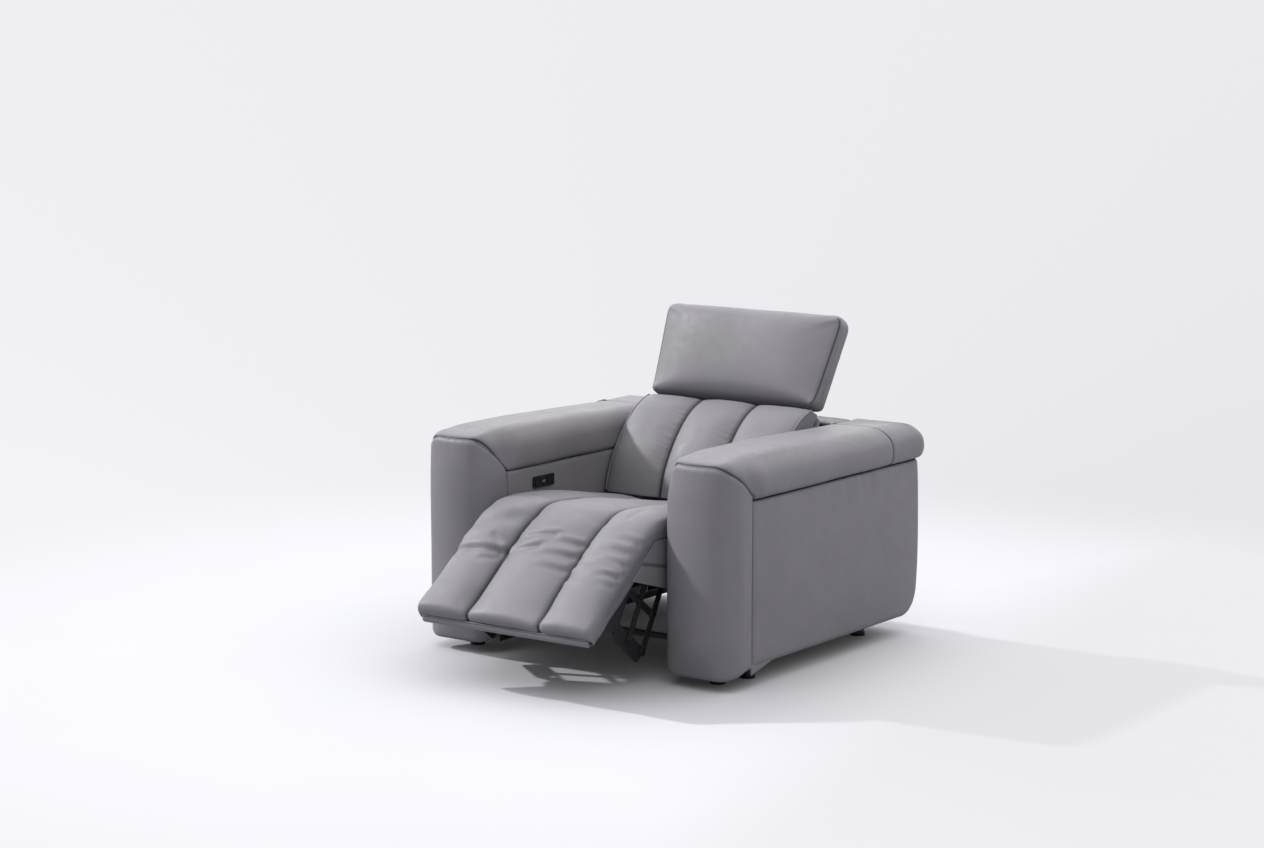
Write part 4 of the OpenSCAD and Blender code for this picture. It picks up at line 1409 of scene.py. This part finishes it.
        quads = (32, max(16, round(110 * (end - start))), 16)
        piece = Piece.from_blank(self.name(part), blank(*quads), shape)
        piece.refine()
        _, s, t = piece.shares()
        co = piece.places()
        gap = np.abs(start + (end - start) * s - self.joint) * (self.rear - self.front)
        x, y, z = DATUM.read(co)
        rim = z - (self.seam - 3)
        sides = valley(rim, 3.0, 7.0)
        edge = np.array([self.front_seam(a, b) for a, b in zip(np.abs(x), y)])
        panel = np.where(y < self.front + 110, z - edge, 99)
        move = sides + valley(gap, 1.8, 6.0) + np.where(panel < 0, -4.0, valley(panel, 2.5, 6.0))
        soft = clumps(co, 7.0, 3.0 + self.side.value)
        fine = clumps(co * np.array([1.0, 0.5, 1.0]), 22.0, 1.0)
        move += (1.6 * soft + 0.5 * fine) * steps(-8, 12, panel)
        tucks = clumps(co * np.array([60.0, 60.0, 8.0]), 1.0, 5.0)
        move += 1.3 * tucks * np.exp(-np.abs(rim) / 22) * (t > 0.01)
        move += 0.3 * tucks * np.exp(-np.abs(panel) / 14)
        piece.swell(move)
        # Painted shade along the joint, under the roll's rim and along the front panel's upper edge.
        dark = np.maximum(seam_shade_line(gap, 3.2) * (s > 0.001), seam_shade_line(rim, 4.0))
        piece.mark("seam", np.maximum(dark, seam_shade_line(panel, 4.0)))
        piece.finish(LEATHER.build(), "padded_leather", "base", node)
        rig.padded(piece.obj, Pull.PANEL.value)

    def wrap(self, panel: Panel) -> None:
        """Wraps one leather panel over the frame, its edges turned in."""
        path = rounded(panel.corners)
        turned_in = 5.0

        def shape(u: float, s: float, t: float) -> Vector:
            """The place of a vertex from its shares across, along and deep."""
            (x, y), (nx, ny) = path.at((u + 1) / 2)
            low, top = panel.low(x, y), panel.top(x, y)
            rim = min(s * (top - low), (1 - s) * (top - low), (1 - abs(u)) * path.length / 2)
            tuck = turned_in - math.sqrt(max(0.0, turned_in ** 2 - max(0.0, turned_in - rim) ** 2))
            swell = panel.puff * math.sin(math.pi * s) ** 0.5 * max(0.0, 1 - u ** 6)
            z = low + (top - low) * s
            out = (swell - tuck * 0.8) * t - panel.thick * (1 - t)
            if not panel.leaning:
                return self.at(x + nx * out, y + ny * out, z)
            out -= self.lean((nx, ny), y, z)
            x, y = x + nx * out, y + ny * out
            return self.at(x + self.draw_in(x, y, z), y - self.padding(x, y, z), z)

        piece = Piece.from_blank(self.name(panel.part), blank(*panel.quads, 1), shape)
        piece.refine()
        u, s, t = piece.shares()
        co = piece.places()
        soft = clumps(co, 5.0, 4.0 + self.side.value)
        tucks = clumps(co * np.array([70.0, 70.0, 9.0]), 1.0, 2.0)
        move = 1.2 * soft + (1.1 if panel.leaning else 0.5) * tucks * np.exp(-(1 - s) * 14)
        if panel.streaks:
            _, y, z = DATUM.read(co)
            rows = clumps(np.stack([y * 0.028 + z * 0.006, z * 0.004, np.zeros_like(y)], 1), 1.0, 9.0)
            near = np.exp(-((self.seam - z) / 95) ** 2) * np.exp(-(((y - 215) / 150) ** 2))
            move += panel.streaks * rows * near
        piece.swell(move * steps(0.5, 1, t))
        ends = (1 - np.abs(u)) * path.length / 2
        # Painted shade along the upper edge under the roll and down the panel's ends.
        piece.mark("seam", np.maximum(seam_shade_line((1 - s) * 450, 5.0), seam_shade_line(ends, 3.6)) * (t > 0.4))
        piece.finish(LEATHER.build(), "leather", "base", self.name(panel.node))

    def panels(self) -> tuple[Panel, ...]:
        """The front panel and the outer and inner sides."""
        proud = 1.5
        inner, outer, front = self.inner - proud, self.outer + proud, self.front - proud
        corner = self.corner + proud
        return (
            Panel("front_leather", "front_panel",
                  ((inner, self.front + 92, 0), (inner, front, corner), (outer, front, corner),
                   (outer, self.front + 104, 0)),
                  self.front_low, self.front_seam, 14.0, (70, 64), 3.0, leaning=True),
            Panel("outer_leather", "side_panel",
                  ((self.outer, self.front + 103, 0), (self.outer, self.wall + 12, 14),
                   (self.inner + 2, self.wall + 12, 0)),
                  self.side_low, lambda x, y: self.seam + 1.5, 10.0, (110, 50), 8.0, streaks=3.0),
            Panel("inner_leather", "inner_panel",
                  ((self.inner + 1, self.wall - 12, 0), (self.inner + 1, self.front + 91, 0)),
                  lambda x, y: self.inner_low, lambda x, y: self.seam + 3, 9.0, (80, 30), 1.0))

    def build(self) -> None:
        """Makes all the armrest's leather."""
        self.roll("roll_cover", 0.0, self.joint, self.name("roll"))
        self.roll("roll_rear_cover", self.joint, 1.0, self.name("roll_rear"))
        for panel in self.panels():
            self.wrap(panel)
        self.lining()
        self.flap()

    def lining(self) -> None:
        """The black cloth that lines the armrest's inner side below the seat."""
        def shape(u: float, s: float, t: float) -> Vector:
            """The place of a vertex from its shares across, along and deep."""
            y = (self.wall - 12) + (self.front + 60 - self.wall + 12) * s
            return self.at(self.inner + 2 + 4 * (1 - t), y, 31 + 209 * (u + 1) / 2)

        piece = Piece.from_blank(self.name("lining"), blank(20, 60, 1), shape)
        piece.finish(LINING.build(), "black_plastic", "base")

    def front_low(self, x: float, y: float) -> float:
        """The front panel's lower edge."""
        fall = max(0.0, y - self.front)
        outer = 30 + 24 * smooth(0, 95, fall)
        inner_corner = 11 * max(0.0, 1 - (x - self.inner) / 40) ** 1.5
        outer_corner = 5 * max(0.0, 1 - (self.outer - x) / 40) ** 1.5
        return outer + (inner_corner + outer_corner) * (1 - min(1.0, fall / 60))

    def side_low(self, x: float, y: float) -> float:
        """The side panel's lower edge, with its rounded heel."""
        run = min(self.heel, max(0.0, y - self.wall + self.heel))
        rise = self.heel - math.sqrt(self.heel ** 2 - run ** 2)
        return self.hem + rise * smooth(self.outer - 75, self.outer - 8, x)

    def flap(self) -> None:
        """The small loose corner of leather that hangs below the side panel behind the front one."""
        def shape(u: float, s: float, t: float) -> Vector:
            """The place of a vertex from its shares across, along and deep."""
            h = (u + 1) / 2
            y = self.front + 102 + 100 * s
            low = 36 + 24 * s
            return self.at(self.outer - 5 + 3.0 * t, y, low + (64 - low) * h)

        piece = Piece.from_blank(self.name("hem_corner"), blank(10, 16, 1), shape)
        piece.finish(LEATHER.build(), "leather", "base")


@dataclass
class OuterBack:
    """The fixed back between the armrests: its leather panel and the shelf on top."""

    half: float = 300.0
    low: float = 58.0
    top: float = 607.0

    def build(self) -> None:
        """Makes the panel and the shelf."""
        half, tall, thick = self.half - 1, self.top - self.low, 20.0

        def panel(u: float, s: float, t: float) -> Vector:
            """The place of a vertex from its shares across, along and deep."""
            puff = 8 * max(0.0, 1 - u ** 4) * max(0.0, 1 - (2 * s - 1) ** 6)
            place = (u * half, (s - 0.5) * tall, (t - 0.5) * thick)
            x, up, out = soften(place, (half, tall / 2, thick / 2), 10, (8, 8), (3, 3))
            return DATUM.at(x, 478 + out + puff * t, up + (self.top + self.low) / 2)

        piece = Piece.from_blank("outer_back_leather", blank(48, 44, 2), panel)
        piece.refine()
        piece.swell(1.4 * clumps(piece.places(), 5.0, 2.0) * piece.shares()[2])
        piece.finish(LEATHER.build(), "leather", "base", "outer_back_panel")

        def shelf(u: float, s: float, t: float) -> Vector:
            """The place of a vertex from its shares across, along and deep."""
            place = (u * 306, (s - 0.5) * 105, (t - 0.5) * 11)
            x, y, z = soften(place, (306, 52.5, 5.5), 12, (5, 5), (3, 3))
            return DATUM.at(x, 437.5 + y, 612 + z + 2.5 * t * (1 - u ** 8) * (1 - (2 * s - 1) ** 4))

        piece = Piece.from_blank("back_shelf_leather", blank(60, 16, 2), shelf)
        piece.refine()
        deep = piece.shares()[2]
        gap = DATUM.read(piece.places())[1] - 462
        piece.swell(valley(gap, 1.6, 4.0) * deep + 0.8 * clumps(piece.places(), 12.0, 2.0))
        # Painted shade along the shelf's seam.
        piece.mark("seam", seam_shade_line(gap, 1.4) * deep)
        piece.finish(LEATHER.build(), "leather", "base", "back_shelf")


# ---------------------------------------------------------------- hard parts


@dataclass(frozen=True)
class HardParts:
    """The finishes of the parts that show as they were made. What isn't named is black steel."""

    finishes: tuple[tuple[Enamel, tuple[str, ...]], ...] = (
        (PINE, ("arm_end_boards", "arm_top_boards", "arm_rails", "outer_back_frame", "seat_side_rails",
                "seat_cross_rails", "back_frame", "back_cross_rails", "headrest_board")),
        (ZINC, ("rail_bolts", "lead_screw", "seat_springs", "back_springs", "usb_socket")),
        (RIVET, ("frame_rivets", "lower_rivets", "upper_rivets")),
        (PLASTIC, ("feet", "power_inlet", "switch_bezel", "open_button", "close_button", "motor")),
        (LINING, ("footrest_board",)),
        (NYLON, ("glide_shoes",)))

    def dress(self) -> None:
        """Finishes every shown solid."""
        chosen = {name: finish for finish, names in self.finishes for name in names}
        shown = {name: node for name, node in frame["nodes"].items() if not node.hide_render}
        for name, node in shown.items():
            node.data.materials.clear()
            node.data.materials.append(chosen.get(name, BLACK_STEEL).build())
        log.info("finished %d solids", len(shown))


# ---------------------------------------------------------------- studio


@dataclass(frozen=True)
class Lamp:
    """A distant lamp: the way its light travels, the angle that it fills in degrees, and its strength."""

    name: str
    way: tuple[float, float, float]
    width: float
    power: float

    def hang(self, lit: Iterable[bpy.types.Object]) -> None:
        """Sets the lamp so that it lights only some objects."""
        data = bpy.data.lights.new(self.name, "SUN")
        data.angle = math.radians(self.width)
        data.energy = self.power
        obj = bpy.data.objects.new(self.name, data)
        obj.rotation_euler = Vector(self.way).to_track_quat("-Z", "Y").to_euler()
        bpy.context.scene.collection.objects.link(obj)
        group = bpy.data.collections.new(self.name)
        for piece in lit:
            group.objects.link(piece)
        obj.light_linking.receiver_collection = group


@dataclass(frozen=True)
class Studio:
    """Pale floor, soft light all round, a low key lamp for the chair, one for its shadow, and the camera."""

    camera_at: tuple[float, float, float] = (4968.6, -7135.1, 1962.3)
    aim: tuple[float, float, float] = (-152.09, 0.0, 623.08)
    lens: float = 85.96
    key: Lamp = Lamp("key", (0.93, 0.36, -0.66), 5.0, 4.0)
    floor_key: Lamp = Lamp("floor_key", (1.65, 0.08, -1.0), 2.0, 3.6)
    haze: float = 0.86
    # The two tints paint light on the far floor: paler to the left, darker to the right.
    painted_light_left: Colour = (1.045, 1.045, 1.075)
    painted_shade_right: Colour = (0.925, 0.925, 0.955)
    # The least share of far air over all the floor, a painted light that lightens its shadows a little.
    painted_light_veil: float = 0.015
    base_air: float = 0.17
    air: tuple[tuple[tuple[float, float, float], float], ...] = (
        ((0, 0, 1), 1.9), ((-0.58, 0.81, 0.15), 1.7), ((1, 0.2, 0.2), 0.5))
    floor_half: float = 260.0
    floor_gap: float = 0.0005

    def hazy(self, tint: Colour) -> Colour:
        """The far air's colour under a tint."""
        return tuple(self.haze * share for share in tint)

    def backdrop_and_painted_light(self, tree: Tree, place: Socket) -> tuple[Socket, Socket]:
        """How much of the far air the camera sees over the floor at a place, and its light: a plain white backdrop far
        off, with painted light over it that is paler to the left, darker to the right, lifts the floor a little
        everywhere and pales the key lamp's shadow to the chair's right.
        """
        away = tree.spread(tree.vector("LENGTH", "Value", place), (1.1, 3.2), (self.painted_light_veil, 1.0), "SMOOTHSTEP")
        across = tree.vector("DOT_PRODUCT", "Value", place, (1, 0.2, 0))
        # Painted light: a ramp of far air over the floor right of the chair, which pales the key lamp's shadow there.
        beside = tree.spread(across, (0.5, 1.15), (0.0, 0.72), "SMOOTHSTEP")
        seen = tree.add("LightPath").outputs["Is Camera Ray"]
        share = tree.sum("MULTIPLY", seen, tree.sum("MAXIMUM", away, beside))
        # Painted light: the far air paler to the left and darker to the right.
        way = tree.vector("NORMALIZE", "Vector", place)
        turn = tree.vector("DOT_PRODUCT", "Value", way, (0.8124, 0.5831, 0))
        side = tree.spread(turn, (-0.6, 0.6))
        colour = tree.mix(side, self.hazy(self.painted_light_left), self.hazy(self.painted_shade_right))
        return share, tree.add("Emission", {"Color": colour}).outputs["Emission"]

    def floor(self) -> bpy.types.Object:
        """Lays the floor, which fades into the air where it is far from the chair, under painted light that pales the
        key lamp's shadow to its right.
        """
        material = bpy.data.materials.new("studio_floor")
        material.use_nodes = True
        tree = Tree(material.node_tree)
        place = tree.add("TexCoord").outputs["Object"]
        tone = tree.mix(tree.noise(place, 2.0), (0.375, 0.375, 0.40), (0.39, 0.39, 0.412))
        shader = tree.feed(material.node_tree.nodes["Principled BSDF"],
                           {"Base Color": tone, "Roughness": 1.0, "Specular IOR Level": 0.0})
        share, glow = self.backdrop_and_painted_light(tree, place)
        blend = tree.add("MixShader", {"Fac": share, 1: shader.outputs["BSDF"], 2: glow})
        tree.feed(material.node_tree.nodes["Material Output"], {"Surface": blend.outputs["Shader"]})
        bm = bmesh.new()
        bmesh.ops.create_grid(bm, x_segments=2, y_segments=2, size=self.floor_half)
        bmesh.ops.translate(bm, verts=bm.verts[:], vec=(0, 0, -self.floor_gap))
        piece = Piece.from_bmesh("floor", bm)
        piece.obj.data.materials.append(material)
        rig.stage(piece.obj)
        return piece.obj

    def surround(self) -> None:
        """Sets the surrounding light, brightest overhead, and the plain air that the camera sees."""
        world = bpy.data.worlds.new("studio_air")
        world.use_nodes = True
        bpy.context.scene.world = world
        tree = Tree(world.node_tree)
        way = tree.add("TexCoord").outputs["Generated"]
        total = self.base_air
        for direction, gain in self.air:
            toward = tree.vector("DOT_PRODUCT", "Value", way, Vector(direction).normalized())
            total = tree.sum("ADD", total, tree.spread(toward, (0.05, 1.0), (0.0, gain), "SMOOTHSTEP"))
        air = tree.feed(world.node_tree.nodes["Background"], {"Color": (1, 1, 1, 1), "Strength": total})
        plain = tree.add("Background", {"Color": (*self.hazy((1.0, 1.0, 1.03)), 1)})
        seen = tree.add("LightPath").outputs["Is Camera Ray"]
        airs = {1: air.outputs["Background"], 2: plain.outputs["Background"]}
        pick = tree.add("MixShader", {"Fac": seen, **airs})
        tree.feed(world.node_tree.nodes["World Output"], {"Surface": pick.outputs["Shader"]})

    def camera(self) -> None:
        """Sets up the camera."""
        data = bpy.data.cameras.new("camera")
        data.lens = self.lens
        data.sensor_width = 36
        data.clip_end = 600
        obj = bpy.data.objects.new("camera", data)
        place, target = DATUM.at(*self.camera_at), DATUM.at(*self.aim)
        obj.location = place
        obj.rotation_euler = (target - place).to_track_quat("-Z", "Y").to_euler()
        bpy.context.scene.collection.objects.link(obj)
        bpy.context.scene.camera = obj

    def build(self) -> None:
        """Builds the whole studio."""
        bpy.context.scene.view_settings.view_transform = "Standard"
        chair = [o for o in bpy.context.scene.objects if o.type == "MESH" and not o.hide_render]
        ground = self.floor()
        self.surround()
        self.key.hang(chair)
        self.floor_key.hang([ground])
        self.camera()


def main() -> None:
    """Builds the armchair's looks around the frame."""
    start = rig.bounds()
    seat, back, head = SeatCover(), BackCushion(), Headrest()
    filling = Filling()
    for pad, cap in ((seat, 6.0), (back, 8.0), (head, 4.0)):
        piece = pad.build()
        filling.add(piece, pad.held, cap)
    filling.run()
    for pad in (seat, back, head):
        pad.gather()
        pad.dress()
    for side in Side:
        SeatSides().build(side)
        Armrest(side).build()
    FootBand().build()
    BackCover().build()
    OuterBack().build()
    HardParts().dress()
    Studio().build()
    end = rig.bounds()
    sizes = {"start": [list(v) for v in start], "end": [list(v) for v in end]}
    with open("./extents.json", "w") as f:
        json.dump(sizes, f)
    log.info("bounds %s", sizes)


if __name__ == "__main__":
    main()
